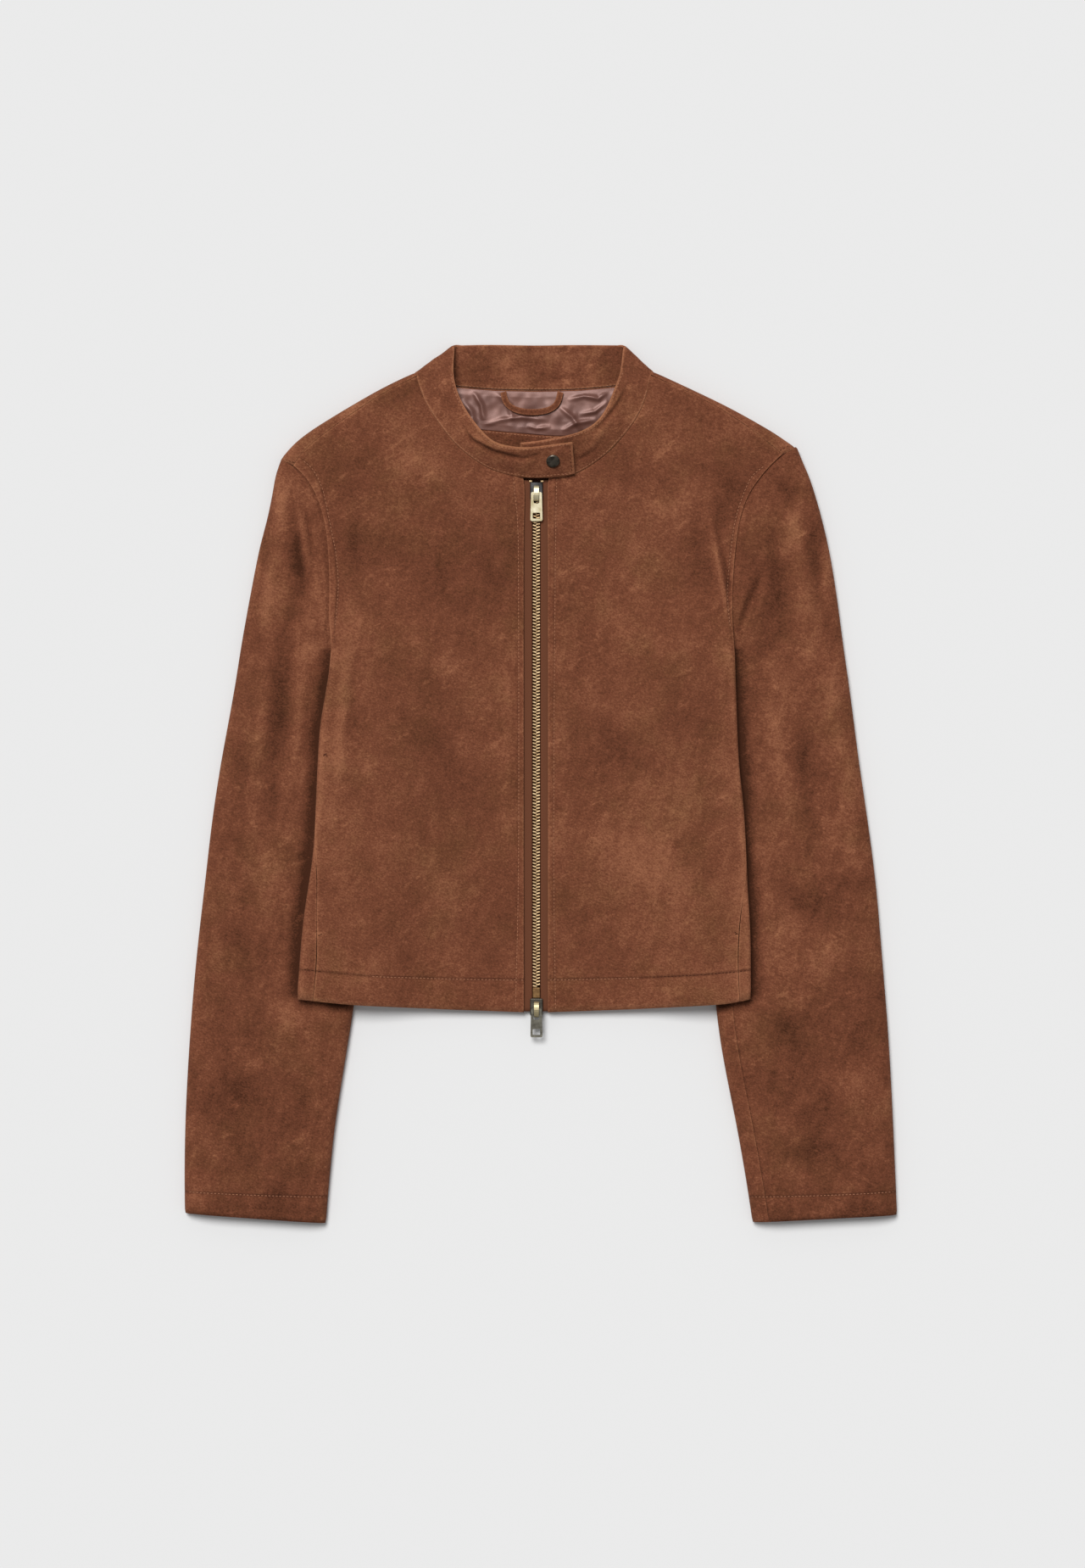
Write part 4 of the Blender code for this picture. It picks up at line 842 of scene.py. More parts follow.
def back_grids():
    """The back's flat middle, its two sides and the two strips over the shoulders."""
    edges, tops, strips = {}, {}, {}
    wings = {side: wing_rows(side) for side in (-1, 1)}
    for side in (-1, 1):
        armhole = [row[2] for row in sleeve_table(side)[:CAP_ROWS]]
        lower = [Vector(row[0][0:2]) for row in reversed(wings[side])]
        upper = [armhole[index] + armhole_inward(side, armhole, index) * GAP for index in reversed(range(CAP_ROWS - 1))]
        shoulder = shoulder_table(side)
        under = [fold + (seam - fold).normalized() * reach for fold, seam, reach in shoulder]
        under[0] = upper[-1] = shoulder[0][1].copy()
        edges[side] = lower + upper
        tops[side] = under
        rows = [shoulder_row(fold, seam, low) for (fold, seam, reach), low in zip(shoulder, under)]
        rows.append(tucked_row(rows[-1], (shoulder[-1][0] - shoulder[-2][0]).normalized()))
        strips[side] = rows
    neck = [Vector(point) - Vector((0.0, GAP / 2 + 0.1)) for point in BACK_NECK]
    top = tops[-1] + neck + tops[1][::-1]
    low = spread(edges[-1][0].x, edges[1][0].x, len(top))
    bottom = [Vector((x, hem_point(x).y + BACK_INSET)) for x in low]
    bottom[0], bottom[-1] = edges[-1][0], edges[1][0]
    middle = [[point.to_3d() for point in row] for row in coons(bottom, top, edges[-1], edges[1])]
    left_wing = [row[::-1] for row in reversed(wings[-1])]
    left_strip = [list(column) for column in zip(*strips[-1])]
    right_strip = [list(column) for column in zip(*reversed(strips[1]))]
    return [middle, left_wing, wings[1][::-1], left_strip, right_strip]


def side_painted_highlight(points, normals):
    """Painted highlight: paler along the folds at the body's sides."""
    left, right = (np.interp(points[:, 1], *BODY_EDGES[side]) for side in (-1, 1))
    beyond = np.abs(points[:, 0]) - np.where(points[:, 0] < 0, left, right)
    low = np.clip((125 - points[:, 1]) / 20, 0, 1)
    return low * (0.34 * np.exp(-((beyond + 3) / 3.2) ** 2) + 0.14 * np.exp(-((beyond + 12) / 9) ** 2))


def back_relief(points, normals):
    """Soft dents in the flat middle, and a slight waviness where the back shows."""
    plan = points[:, :2]
    floor_side = np.clip(-normals[:, 2] * 4 - 3, 0, 1) * (points[:, 2] < 0.5) * (np.abs(plan[:, 0]) < 100)
    shown = np.clip(normals[:, 2] * 1.5 - 0.3, 0, 1)
    return floor_side * fold_height(plan, BACK_FOLDS) + 0.2 * shown * waviness(points, 16, 5.0)


HEM_STITCH = ((-210, -147), (-187, -148.5), (-135.7, -153.3), (-80, -155.5), (-4, -156.8), (80, -155),
              (129.9, -152), (165, -148.5), (185, -147))
# Painted highlights along the shoulder folds, where they turn up to the light. The back also gets painted highlights
# along its side folds and a paler rim of wear and painted highlight at its cut edges
BACK_PAINTED_HIGHLIGHTS = ((-205, 270, 14, 14, 0, 0.40), (196, 276, 14, 14, 0, 0.34), (-150, 305, 60, 6, 28, 0.34),
                (150, 303, 60, 6, -28, 0.26))
back = cloth("back", back_grids(), True, back_relief, {"hem_line": HEM_STITCH}, BACK_PAINTED_HIGHLIGHTS, shade=side_painted_highlight)


# The fronts. Two pieces of suede, topstitched beside the zip and at the armholes, with a turned and
# stitched hem. They roll round the body's sides to meet the back at the side seams.
FRONT_EDGE = {-1: -13.9, 1: 5.4}
# One row for each station of the collar band: the point on the neck seam and the one on the free edge
LEFT_BAND = (
    (26.9, 249, 16.9, 24.8, 273.3, 28.4),
    (17, 247.2, 17, 16.8, 272.2, 28.8),
    (7, 246.2, 16.9, 8.2, 271, 29),
    (-4, 245.6, 16, -4, 269.4, 28.8),
    (-13.9, 246.1, 14.2, -14.5, 268.5, 28.2),
    (-32.3, 249.9, 13.3, -31, 270.6, 26.2),
    (-45.9, 255.3, 13.2, -41.8, 275.7, 24.4),
    (-63.2, 267.6, 12.9, -52.7, 288.7, 21.6),
    (-75.1, 279.8, 12.6, -60.2, 299.5, 19.2),
    (-91.5, 302.9, 12.2, -67.9, 315, 15.8),
    (-97.6, 317.5, 12, -71.2, 331.5, 12.6),
)
RIGHT_BAND = (
    (85.6, 315.5, 12.1, 64.3, 331.5, 12.6),
    (80.6, 300.9, 12.3, 59.2, 318.5, 15.2),
    (73.1, 288.7, 12.6, 52.7, 301.4, 18.4),
    (64.9, 278.5, 12.8, 45.5, 290.6, 20.8),
    (55.4, 267.9, 13, 36, 284, 22.8),
    (43.2, 258.1, 13.2, 26, 280, 24.4),
    (27, 248.5, 13.3, 15.5, 277.6, 25.8),
    (16, 246.4, 13.3, 8, 276.2, 26),
    (5.4, 245.9, 13.2, 0, 274.6, 26),
    (-6, 247.2, 11.6, -8.5, 273.6, 25.2),
    (-16.7, 247.6, 10.6, -16.7, 273, 24.4),
)
LEFT_FRONT_FOLDS = (
    (((-156, 122), (-159, 60), (-162, -10)), 4.5, 1.3),
    (((-147, 118), (-149, 70), (-153, 10)), 5, -1),
    (((-158, 152), (-150, 134), (-130, 118)), 4.5, 0.9),
    (((-150, 180), (-128, 190), (-98, 182)), 11, -1.2),
    (((-150, 225), (-146, 205), (-150, 180)), 5, -1),
    (((-110, 120), (-70, 95), (-40, 60)), 15, 1.1),
    (((-120, 60), (-80, 30), (-50, -20)), 14, -1.2),
    (((-140, -40), (-100, -60), (-60, -100)), 13, 1.1),
    (((-60, 230), (-90, 255), (-120, 262)), 10, 0.8),
    (((-28, 150), (-26, 40), (-29, -80)), 6, 0.6),
)
RIGHT_FRONT_FOLDS = (
    (((133.6, 222), (139.1, 190), (144.5, 163), (149.5, 139), (152.5, 118)), 2.8, 1.9),
    (((140, 214), (144.5, 190), (149.5, 165), (152.6, 142), (154.5, 124)), 1.9, -2.2),
    (((118, 220), (128, 185), (137, 145)), 7, -1.1),
    (((136, 240), (142, 226), (146, 206)), 4, -0.9),
    (((30, 150), (70, 120), (120, 100)), 14, 1.1),
    (((24, 60), (60, 30), (110, 10)), 14, -1.2),
    (((40, -40), (80, -70), (130, -80)), 13, 1.1),
    (((60, 250), (90, 236), (120, 240)), 11, -0.9),
    (((17, 140), (16, 30), (18, -90)), 6, 0.6),
)


def front_edge_rows(side):
    """The outer edge of a front, hem to shoulder: point, direction inwards, fold radius, end of travel."""
    inward = Vector((-side, 0.0))
    rows = [(Vector((fold, y)), inward, SIDE_FOLD, seam + side_gap(seam) / 2)
            for y, fold, seam in reversed(side_table(side))]
    armhole = [row[1] for row in sleeve_table(side)[:CAP_ROWS]]
    underarm = armhole[-1]
    rows.append((underarm, inward, SIDE_FOLD * ease((122 - underarm.y) / 10), UNDERARM_SEAM + FOLD_GAP / 2))
    for index in reversed(range(1, CAP_ROWS - 1)):
        rows.append((armhole[index], armhole_inward(side, armhole, index), 0.0, GAP / 2))
    start, after = (row[1] for row in shoulder_table(side)[:2])
    rows.append((start, (after - start).normalized(), 0.0, GAP / 2))
    return rows


NECK_TUCK = 0.7      # how far the fronts reach under the collar's lower edge
NECK_DROP = 0.6      # and how much lower they lie there
FRONT_SHARES = (0.0, 0.012, 0.026, 0.045, 0.075, 0.12, 0.18, 0.26, 0.36, 0.48, 0.60, 0.72, 0.84, 0.93, 1.0)


def along_line(line, share):
    """The point a share of the way along a line's points."""
    spot = min(share * (len(line) - 1), len(line) - 1.000001)
    return line[int(spot)].lerp(line[int(spot) + 1], spot - int(spot))

def front_band(side):
    """The collar's stations over one front, from the zip to the shoulder."""
    return LEFT_BAND[4:] if side < 0 else RIGHT_BAND[8::-1]


def front_neck(side):
    """The neck edge of a front, from the zip to the shoulder, tucked under the collar."""
    points = []
    for row in front_band(side):
        seam, free = Vector(row[0:2]), Vector(row[3:5])
        tuck = NECK_TUCK + 1.5 * ease((seam.y - 298) / 18)
        points.append(seam + (free - seam).normalized() * tuck)
    points[0] = Vector((FRONT_EDGE[side], points[0].y + 4))
    return points


def front_grids(side):
    """One front: the panel from the zip to the side, and the strip that rounds its outer edge."""
    edge_x = FRONT_EDGE[side]
    strip = []
    for point, inward, radius, last in front_edge_rows(side):
        row = []
        for travel in toward_edge(max(radius * math.pi / 2, last) + FOLD_STRIP, last, 9):
            inset, drop = across_fold(radius, travel)
            plan = point + inward * inset
            low = plan.y if strip else hem_point(plan.x).y
            row.append((plan.x, low, body_top(plan.x, low) - drop))
        strip.append(row)
    outer = [Vector(row[0][0:2]) for row in strip]
    neck = front_neck(side)
    shoulder = shoulder_table(side)
    seam = [point + (point - fold).normalized() * (GAP / 2) for fold, point, under in shoulder]
    seam[-1] += (seam[-1] - seam[-2]).normalized() * 1.8
    corners = seam[:0:-1] + [outer[-1]]
    top = [corners[0]]
    for start, end in zip(corners, corners[1:]):
        top += [(start + end) / 2, end]
    top = [along_line(top, share) for share in FRONT_SHARES]
    bottom = [hem_point(edge_x + (outer[0].x - edge_x) * share) for share in FRONT_SHARES]
    bottom[-1] = outer[0]
    centre = [Vector((edge_x, y)) for y in spread(bottom[0].y, neck[0].y, len(outer) - len(neck))]
    neck_seam = [row[0:2] for row in front_band(side)] + [tuple(shoulder[-1][0])]
    panel = []
    for row in coons(bottom, top, centre + neck[1:] + [corners[0]], outer, FRONT_SHARES):
        distance, share = distance_along(np.array([tuple(point) for point in row]), neck_seam)
        points = []
        for point, away in zip(row, distance):
            drop = (NECK_DROP + 1.1 * ease((point.y - 305) / 15)) * ease((side * away + 0.3) / NECK_TUCK)
            points.append((point.x, point.y, body_top(point.x, point.y) - drop))
        panel.append(points)
    return [finer(panel), finer(strip)]


# The stitched lines beside armhole and zip, and the lighter and darker patches, left and right: the nap's own patches
# and pale marks, with painted highlight and painted shade along the folds
LEFT_ARMHOLE = ((-190.7, 259.8), (-182.6, 251.9), (-175.8, 238.3), (-171.7, 221.3), (-168.3, 204.3), (-164.9, 187.3),
                (-162.9, 166.9), (-162.9, 153.3), (-164.9, 126.1))
RIGHT_ARMHOLE = ((178.5, 255.3), (169, 247.2), (162.9, 234.9), (158.1, 221.3), (154.7, 207.7), (152, 187.3),
                 (149.9, 166.9), (149.3, 149.9), (151.3, 126.1))
LEFT_PLACKET = ((-22.4, 246), (-20.7, 228.8), (-19, 211.1), (-18.2, 160), (-18.2, -60), (-20.8, -182))
RIGHT_PLACKET = ((12.5, 246), (11.6, 200), (10.4, 60), (10.2, -80), (11.6, -182))
LEFT_FRONT_PATCHES = (
    (-74, 168, 44, 34, 20, -0.36), (-80, 60, 56, 40, -20, -0.12), (-152, 100, 12, 34, 8, 0.30),
    (-110, 262, 30, 12, 30, 0.12), (-120, -156, 80, 16, 0, 0.22), (-40, -40, 24, 60, 0, 0.06),
    (-152, 188, 8, 22, 0, -0.34), (-150, 236, 20, 14, 40, -0.14), (-88, 226, 8, 4, 30, 0.22),
    (-46, 158, 8, 3.5, -30, 0.26), (-60, 240, 9, 5, 0, 0.20), (-160, -60, 14, 60, 4, 0.14),
)
RIGHT_FRONT_PATCHES = (
    (70, 205, 50, 30, 10, 0.10), (124, 130, 12, 60, 6, -0.12), (40, 100, 30, 40, 0, -0.14),
    (96, -90, 60, 56, 20, 0.10), (140, -150, 34, 20, 0, 0.16), (24, -130, 18, 40, 0, -0.10),
    (148, 226, 9, 24, -20, -0.28), (136, 250, 26, 8, -34, -0.12), (70, 150, 60, 60, 0, 0.05),
    (62, -2, 22, 1.2, 8, 0.42), (96, -1, 12, 1.1, 22, 0.46), (72, -44, 12, 1.1, 6, 0.42),
    (44, 42, 3, 9, 10, 0.22), (104, 222, 16, 6, 20, 0.20),
)


def front_relief(folds, seed, side, armhole, placket):
    """The relief of one front: its folds, a soft waviness, and the doubled suede beside zip and armhole."""
    def relief(points, normals):
        plan = points[:, :2]
        top = np.clip(normals[:, 2] * 1.6 - 0.3, 0, 1)
        soft = 0.6 * waviness(points, 46, seed) + 0.34 * waviness(points, 19, seed + 4)
        beyond = side * distance_along(plan, armhole)[0]
        welt = 0.8 * np.exp(-((beyond - 2.9) / 2.0) ** 2) * np.clip((plan[:, 1] - 120) / 10, 0, 1)
        beyond = -side * distance_along(plan, placket)[0]
        welt += 0.5 * np.exp(-((beyond - 2.6) / 1.8) ** 2) * (np.abs(plan[:, 0]) < 30)
        return top * (fold_height(plan, folds) + soft + welt)
    return relief


fronts = {}
for side, name, folds, seed, armhole, placket, patches in (
        (-1, "front_left", LEFT_FRONT_FOLDS, 1.0, LEFT_ARMHOLE, LEFT_PLACKET, LEFT_FRONT_PATCHES),
        (1, "front_right", RIGHT_FRONT_FOLDS, 7.0, RIGHT_ARMHOLE, RIGHT_PLACKET, RIGHT_FRONT_PATCHES)):
    # Each front gets painted highlights along its side folds and a paler rim of wear and painted highlight along its
    # cut edges
    fronts[side] = cloth(name, front_grids(side), side < 0, front_relief(folds, seed, side, armhole, placket),
                         {"hem_line": HEM_STITCH, "zip_line": placket, "seam_line": armhole}, patches,
                         edge_wear_and_painted_light=0.5, shade=side_painted_highlight)


# The collar band. Two plies of shaved suede, turned and edge-stitched, standing round the neck and
# folded down at its two sides. Its left end is the tab that snaps over the other.
BAND_PLY = 0.9       # the collar's suede, shaved thin because it is doubled
BAND_GAP = 0.3       # between the collar's two plies
LEFT_CORNER = ((-102.3, 330.8), (-71.1, 353.3))
RIGHT_CORNER = ((90.8, 331.5), (67.7, 352.8))
CORNER_FREE_FOLD = 4.75
COLLAR_TOP = 353.5   # the straight free edge at the back of the neck
CORNER_ANGLES = (68, 34, 0, -34, -68, -90)
BAND_ACROSS = 5      # points from the seam to the free edge
BAND_BOW = 1.2       # how far the standing band curves outwards between its edges
BAND_WALL = BAND_PLY + 0.13  # the wall as it is modelled


def corner_stations(corner, angles):
    """The band's stations round one folded corner, from its front to its back."""
    seam_fold, free_fold = (Vector(point) for point in corner)
    along = (free_fold - seam_fold).normalized()
    outward = Vector((-along.y, along.x))
    if outward.y < 0:
        outward = -outward
    half = BAND_PLY + BAND_GAP / 2
    stations = []
    for angle in angles:
        turn = math.radians(angle)
        ends = []
        for fold, radius in ((seam_fold, SHOULDER_FOLD), (free_fold, CORNER_FREE_FOLD)):
            middle = radius - half
            plan = fold - outward * radius + outward * middle * math.cos(turn)
            if radius == CORNER_FREE_FOLD and angle < 0:
                plan += along * (COLLAR_TOP - plan.y) / along.y
            ends += [plan.x, plan.y, radius + middle * math.sin(turn)]
        stations.append(tuple(ends))
    return stations


def band_stations():
    """All stations of the collar band, from the tab's end round the neck to the hidden end."""
    half = BAND_PLY + BAND_GAP / 2
    back = [(sx, sy, half, fx, fy, half) for (sx, sy), (fx, fy) in zip(BACK_NECK, BACK_FREE)]
    left = corner_stations(LEFT_CORNER, CORNER_ANGLES)
    right = corner_stations(RIGHT_CORNER, tuple(reversed(CORNER_ANGLES)))
    return list(LEFT_BAND) + left + back + right + list(RIGHT_BAND)


def band_point(row, share):
    """A point of one station, a share of the way from the seam to the free edge."""
    seam = Vector(row[0:3])
    free = Vector(row[3:6])
    flat = (free - seam).normalized()
    point = seam + flat * (GAP / 2 + 0.1) + (free - seam) * share * 0.995
    standing = min(abs(row[5] - row[2]) / 10, 1.0)
    outwards = Vector((-flat.x * flat.z, -flat.y * flat.z, 1 - flat.z * flat.z)).normalized()
    return point + outwards * BAND_BOW * standing * math.sin(math.pi * share)


band_rows = [[band_point(row, share) for share in spread(0, 1, BAND_ACROSS)] for row in band_stations()]
# The roll under the tab's long free edge, and smaller puckers round the band
COLLAR_FOLDS = (
    (((-68, 296), (-55.5, 275.5), (-38.1, 265.9), (-24.1, 262.4), (-13.9, 260.4), (-4.4, 262.8), (2.4, 265)),
     1.7, -2.6),
    (((-72, 300), (-60, 283), (-45, 273), (-30, 268.3), (-14, 265.6)), 2.2, 1),
    (((-88, 316), (-74, 306), (-66, 300)), 2.6, -1.1),
    (((-84, 290), (-72, 272), (-58, 262)), 2.6, 0.9),
    (((72, 326), (62, 306), (50, 290), (38, 280.5)), 1.8, -1.9),
    (((67, 320), (58.5, 304), (48, 293)), 1.8, 0.9),
    (((52, 288), (40, 272), (28, 262)), 2.8, 1),
    (((46, 270), (35, 263), (25, 258)), 2, -1.2),
)
COLLAR_PATCHES = (
    (-70, 290, 40, 40, 0, 0.42), (0, 258, 40, 12, 0, 0.16), (60, 285, 30, 40, 0, 0.20),
    (-30, 340, 9, 6, 20, 0.44), (6, 328, 12, 5, -20, -0.36), (34, 342, 14, 5, 30, 0.40),
    (-46, 330, 8, 8, 0, -0.34), (20, 323, 16, 3, 10, 0.40), (-6, 346, 20, 4, 0, 0.30),
)


def collar_relief(way):
    """The relief of a ply: rolls and puckers of the soft band. The inner ply, -1, follows the outer one, 1."""
    def relief(points, normals):
        waves = 0.45 * waviness(points, 13, 3.0) + 0.3 * waviness(points, 6, 9.0)
        return way * (fold_height(points[:, :2], COLLAR_FOLDS) + waves)
    return relief


collar = {}
# The third value is the paler rim along the band's edges, wear with painted highlight, and the fourth how strongly its
# nap is clouded
for node, way, rubbed, clouds in (("collar_outer", 1, 1.0, 1.2), ("collar_inner", -1, 0.8, 1.7)):
    collar[way] = cloth(node, [band_rows], way < 0, collar_relief(way), {}, COLLAR_PATCHES, BAND_WALL,
                        lift=BAND_GAP / 2 + BAND_PLY, levels=3, edge_wear_and_painted_light=rubbed, mottle=clouds)


# Inside the neck. The back is lined with mauve satin above a suede facing, and a narrow strip of
# suede, stitched along both edges, makes the hanging loop.
SATIN = 1.0          # how far the lining's face stands above the back
LINING_LEFT = -80.0
LINING_RIGHT = 70.0
FACING_TOP = ((-66.0, 286.0), (-48.6, 285.3), (-20.0, 282.8), (6.5, 280.5), (52.0, 279.5))
FACING_BOTTOM = 238.0
LOOP_PATH = ((-30.5, 315.6), (-28.0, 306.5), (-20.0, 301.0), (-7.0, 299.2), (6.0, 301.0), (13.0, 306.5),
             (15.5, 315.6))
LOOP_WIDTH = 5.0
LOOP_WALL = 1.2
LOOP_BASE = 4.2      # how high the loop lies, over the satin's creases
# Creases of the satin: a line from above, its half width and its height
SATIN_FOLDS = (
    (((-56.1, 319), (-47.9, 305), (-45.9, 293)), 2, 1.5),
    (((-64, 310), (-56, 300), (-54, 290)), 2.4, 1.1),
    (((-39.1, 319), (-26.2, 305.7), (-22.8, 293)), 2.2, 1.6),
    (((-48, 288), (-32.3, 293.4), (-16, 295.5), (6, 293)), 2, 1.3),
    (((13.9, 304), (24.8, 295.5), (32.6, 284)), 2, 1.6),
    (((21, 309.1), (34.3, 312.5), (45.9, 310.4), (54.4, 317)), 1.9, 1.6),
    (((30, 297.5), (43.2, 300.2), (54, 308.5)), 1.8, 1.3),
    (((16, 284.3), (28.2, 290.7), (45.2, 293.8)), 2, 1.3),
    (((-12, 289), (-4, 286), (8, 288)), 1.8, 0.9),
    (((-70, 300), (-62, 294), (-50, 292)), 2, 0.9),
)


def satin_height(x, y):
    """Lower face of the satin lining before its creases."""
    creases = math.sin(x / 9 + 0.4 * math.sin(y / 8)) * math.sin(y / 11 + x / 40)
    return SUEDE + GAP + 0.3 * (1 + creases)


def satin_relief(points, normals):
    """The satin's loose creases, which flatten out under the collar."""
    plan = points[:, :2]
    shown = np.clip((319.0 - plan[:, 1]) / 4, 0, 1)
    return shown * (fold_height(plan, SATIN_FOLDS) + 0.45 * (1 + waviness(points, 6.5, 2.0)))


def make_satin():
    """Mauve satin: smooth and softly glossy, with a fine weave."""
    add, ramp, finish = node_material("satin")
    place = add("TexCoord", {}, "Object")
    shade = add("TexNoise", {"Scale": 60.0, "Detail": 3.0, 0: place})
    squeezed = add("Mapping", {"Scale": (2600.0, 700.0, 2600.0), 0: place})
    weave = add("TexNoise", {"Scale": 1.0, "Detail": 1.0, 0: squeezed})
    return finish({"Base Color": ramp(shade, (0.25, (100, 62, 52)), (0.75, (128, 86, 74))), "Roughness": 0.42,
                   "Metallic": 0.25, "Specular IOR Level": 0.6, "Anisotropic": 0.4}, weave, 0.25, 0.1)


def filled(left, right, columns, count, low, high, height):
    """Rows of points from a lower line to an upper one, each a function of x."""
    rows = []
    for share in spread(0, 1, count):
        plan = [(x, low(x) + (high(x) - low(x)) * share) for x in spread(left, right, columns)]
        rows.append([(x, y, height(x, y)) for x, y in plan])
    return rows


satin = make_satin()
neck_line = ((LEFT_CORNER[0][0] + 4, 325.0),) + BACK_NECK + ((RIGHT_CORNER[0][0] - 4, 326.0),)
lining_rows = filled(LINING_LEFT, LINING_RIGHT, 61, 25, lambda x: read_line(FACING_TOP, x) + GAP,
                     lambda x: read_line(neck_line, x) - 1.0, satin_height)
lining = cloth("lining_back", [lining_rows], False, satin_relief, wall=SATIN * 0.6, material=satin,
               slot_name="mauve_satin", lift=SATIN)
facing_rows = filled(FACING_TOP[0][0], FACING_TOP[-1][0], 25, 9, lambda x: FACING_BOTTOM,
                     lambda x: read_line(FACING_TOP, x), lambda x, y: SUEDE + GAP)
facing = cloth("facing_back", [facing_rows], False, None, patches=((-10, 262, 80, 40, 0, -0.35),), lift=SUEDE)
loop_points = [Vector(point) for point in LOOP_PATH]
loop_rows = []
for index, point in enumerate(loop_points):
    before = loop_points[max(index - 1, 0)]
    after = loop_points[min(index + 1, len(loop_points) - 1)]
    along = (after - before).normalized()
    across = Vector((-along.y, along.x)) * LOOP_WIDTH / 2
    loop_rows.append([Vector((point.x + across.x * part, point.y + across.y * part, LOOP_BASE))
                      for part in (-1, -0.5, 0, 0.5, 1)])
loop = cloth("hanger_loop", [finer(loop_rows)], True, None, patches=((-7, 305, 60, 60, 0, -0.2),), wall=LOOP_WALL,
             lift=LOOP_WALL, edge_wear_and_painted_light=0.7)


# The zip. Brown woven tapes carry brass teeth in two interlocking rows. The sliders, pulls, stops
# and the box at the foot are cast metal, brass above and darker gunmetal below.
ZIP_X = -3.85
CHAIN_DEPTH = 2.6    # from the teeth's face to their back
CHAIN_SINK = 1.2     # how far the teeth lie below the suede's face
TAPE = 1.0           # thickness of the tapes
TAPE_SINK = 2.0      # and how far they lie below the suede's face
TAPES = {"zip_tape_left": (-26.0, -7.1), "zip_tape_right": (-0.6, 17.5)}
TAPE_TOP = 244.2
TAPE_BOTTOM = -182.0
TOOTH_PITCH = 2.53
TOOTH_FACE = 1.3     # height of a tooth along the zip
TOOTH_FOOT = 1.7     # how far the middle of its foot lies from the zip's
TOOTH_SLANT = 0.22   # its slope down to the middle
FIRST_TOOTH_Y = -161.6
TEETH = 308          # in both rows together
# Metals: darker and lighter colour, roughness, grain, how metallic, and a brass loop's height and colour
METALS = {
    "tooth_brass": ((168, 132, 88), (240, 210, 164), 0.40, 300.0, 0.7),
    # The foot's brass is darker: painted shade standing in for the dark gap at the zip's foot
    "foot_brass_painted_shade": ((96, 66, 40), (150, 116, 74), 0.45, 300.0, 0.8),
    "pull_brass": ((196, 180, 136), (244, 234, 204), 0.40, 160.0, 0.45),
    "dark_metal": ((74, 70, 62), (150, 146, 132), 0.36, 160.0, 0.8),
    "top_slider_metal": ((34, 32, 32), (84, 82, 82), 0.36, 160.0, 0.8, (15.0, (216, 204, 168))),
    "bottom_slider_metal": ((44, 40, 36), (92, 86, 76), 0.38, 160.0, 0.8, (8.5, (178, 164, 128))),
    "snap_metal": ((52, 47, 42), (104, 97, 86), 0.36, 220.0),
}
METAL_NODES = {"zip_pin": "foot_brass_painted_shade", "top_stop_left": "tooth_brass", "top_stop_right": "tooth_brass",
               "slider_top": "top_slider_metal", "slider_bottom": "bottom_slider_metal",
               "pull_bottom": "dark_metal", "pull_top": "pull_brass", "snap_cap": "snap_metal"}


def make_tape():
    """Brown zip tape: a close weave of fine cords along it."""
    add, ramp, finish = node_material("woven_tape")
    place = add("TexCoord", {}, "Object")
    weave = [add("TexWave", {"wave_type": "BANDS", "bands_direction": way, "Scale": scale, "Distortion": 1.2, 0: place},
                 "Fac") for way, scale in (("X", 520.0), ("Y", 610.0))]
    mixed = add("Math", {"operation": "MULTIPLY", 0: weave[0], 1: weave[1]})
    return finish({"Base Color": ramp(mixed, (0.0, (98, 59, 41)), (1.0, (122, 77, 56))), "Roughness": 0.95,
                   "Specular IOR Level": 0.08}, mixed, 0.3, 0.1)


def make_metal(name, dark, light, rough, grain, metallic=1.0, bail=None):
    """Cast metal with a slightly uneven, handled finish. bail is the height and colour of a brass loop on it."""
    add, ramp, finish = node_material(name)
    place = add("TexCoord", {}, "Object")
    wear = add("TexNoise", {"Scale": grain, "Detail": 6.0, "Roughness": 0.6, 0: place})
    colour = ramp(wear, (0.3, dark), (0.7, light))
    if bail:
        level, plating = bail
        above = add("MapRange", {"From Min": (level - 0.3) * MM, "From Max": (level + 0.3) * MM,
                                 0: add("SeparateXYZ", {0: place}, "Z")})
        colour = add("Mix", {"data_type": "RGBA", 0: above, 6: colour, 7: linear(*plating)}, 2)
    gloss = add("MapRange", {"To Min": rough - 0.08, "To Max": rough + 0.12, 0: wear})
    return finish({"Base Color": colour, "Roughness": gloss, "Metallic": metallic}, wear, 0.2, 0.05)


def draw_out(way, step, narrowing):
    """Draws out the end of the shape in edit mode that looks a way, and narrows it."""
    bpy.ops.mesh.select_all(action="DESELECT")
    mesh = bpy.context.active_object.data
    shaped = bmesh.from_edit_mesh(mesh)
    for face in shaped.faces:
        if face.normal.dot(Vector(way)) > 0.9:
            face.select_set(True)
    bmesh.update_edit_mesh(mesh)
    bpy.ops.mesh.extrude_region_move(TRANSFORM_OT_translate={"value": Vector(way) * step})
    bpy.ops.transform.resize(value=narrowing)


def take_shape():
    """Takes the active object out of the scene and gives its points and faces, to be repeated in one mesh.

    The faces are put in a fixed order, because the order from modelling can change from run to run.
    """
    shape = bpy.context.active_object
    points = np.array([tuple(vert.co) for vert in shape.data.vertices])
    faces = []
    for corners in (tuple(face.vertices) for face in shape.data.polygons):
        first = corners.index(min(corners))
        faces.append(corners[first:] + corners[:first])
    faces.sort()
    bpy.data.objects.remove(shape)
    return points, faces


metals = {name: make_metal(name, *look) for name, look in METALS.items()}
for node, metal in METAL_NODES.items():
    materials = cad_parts[node].data.materials
    materials.clear()
    materials.append(metals[metal])

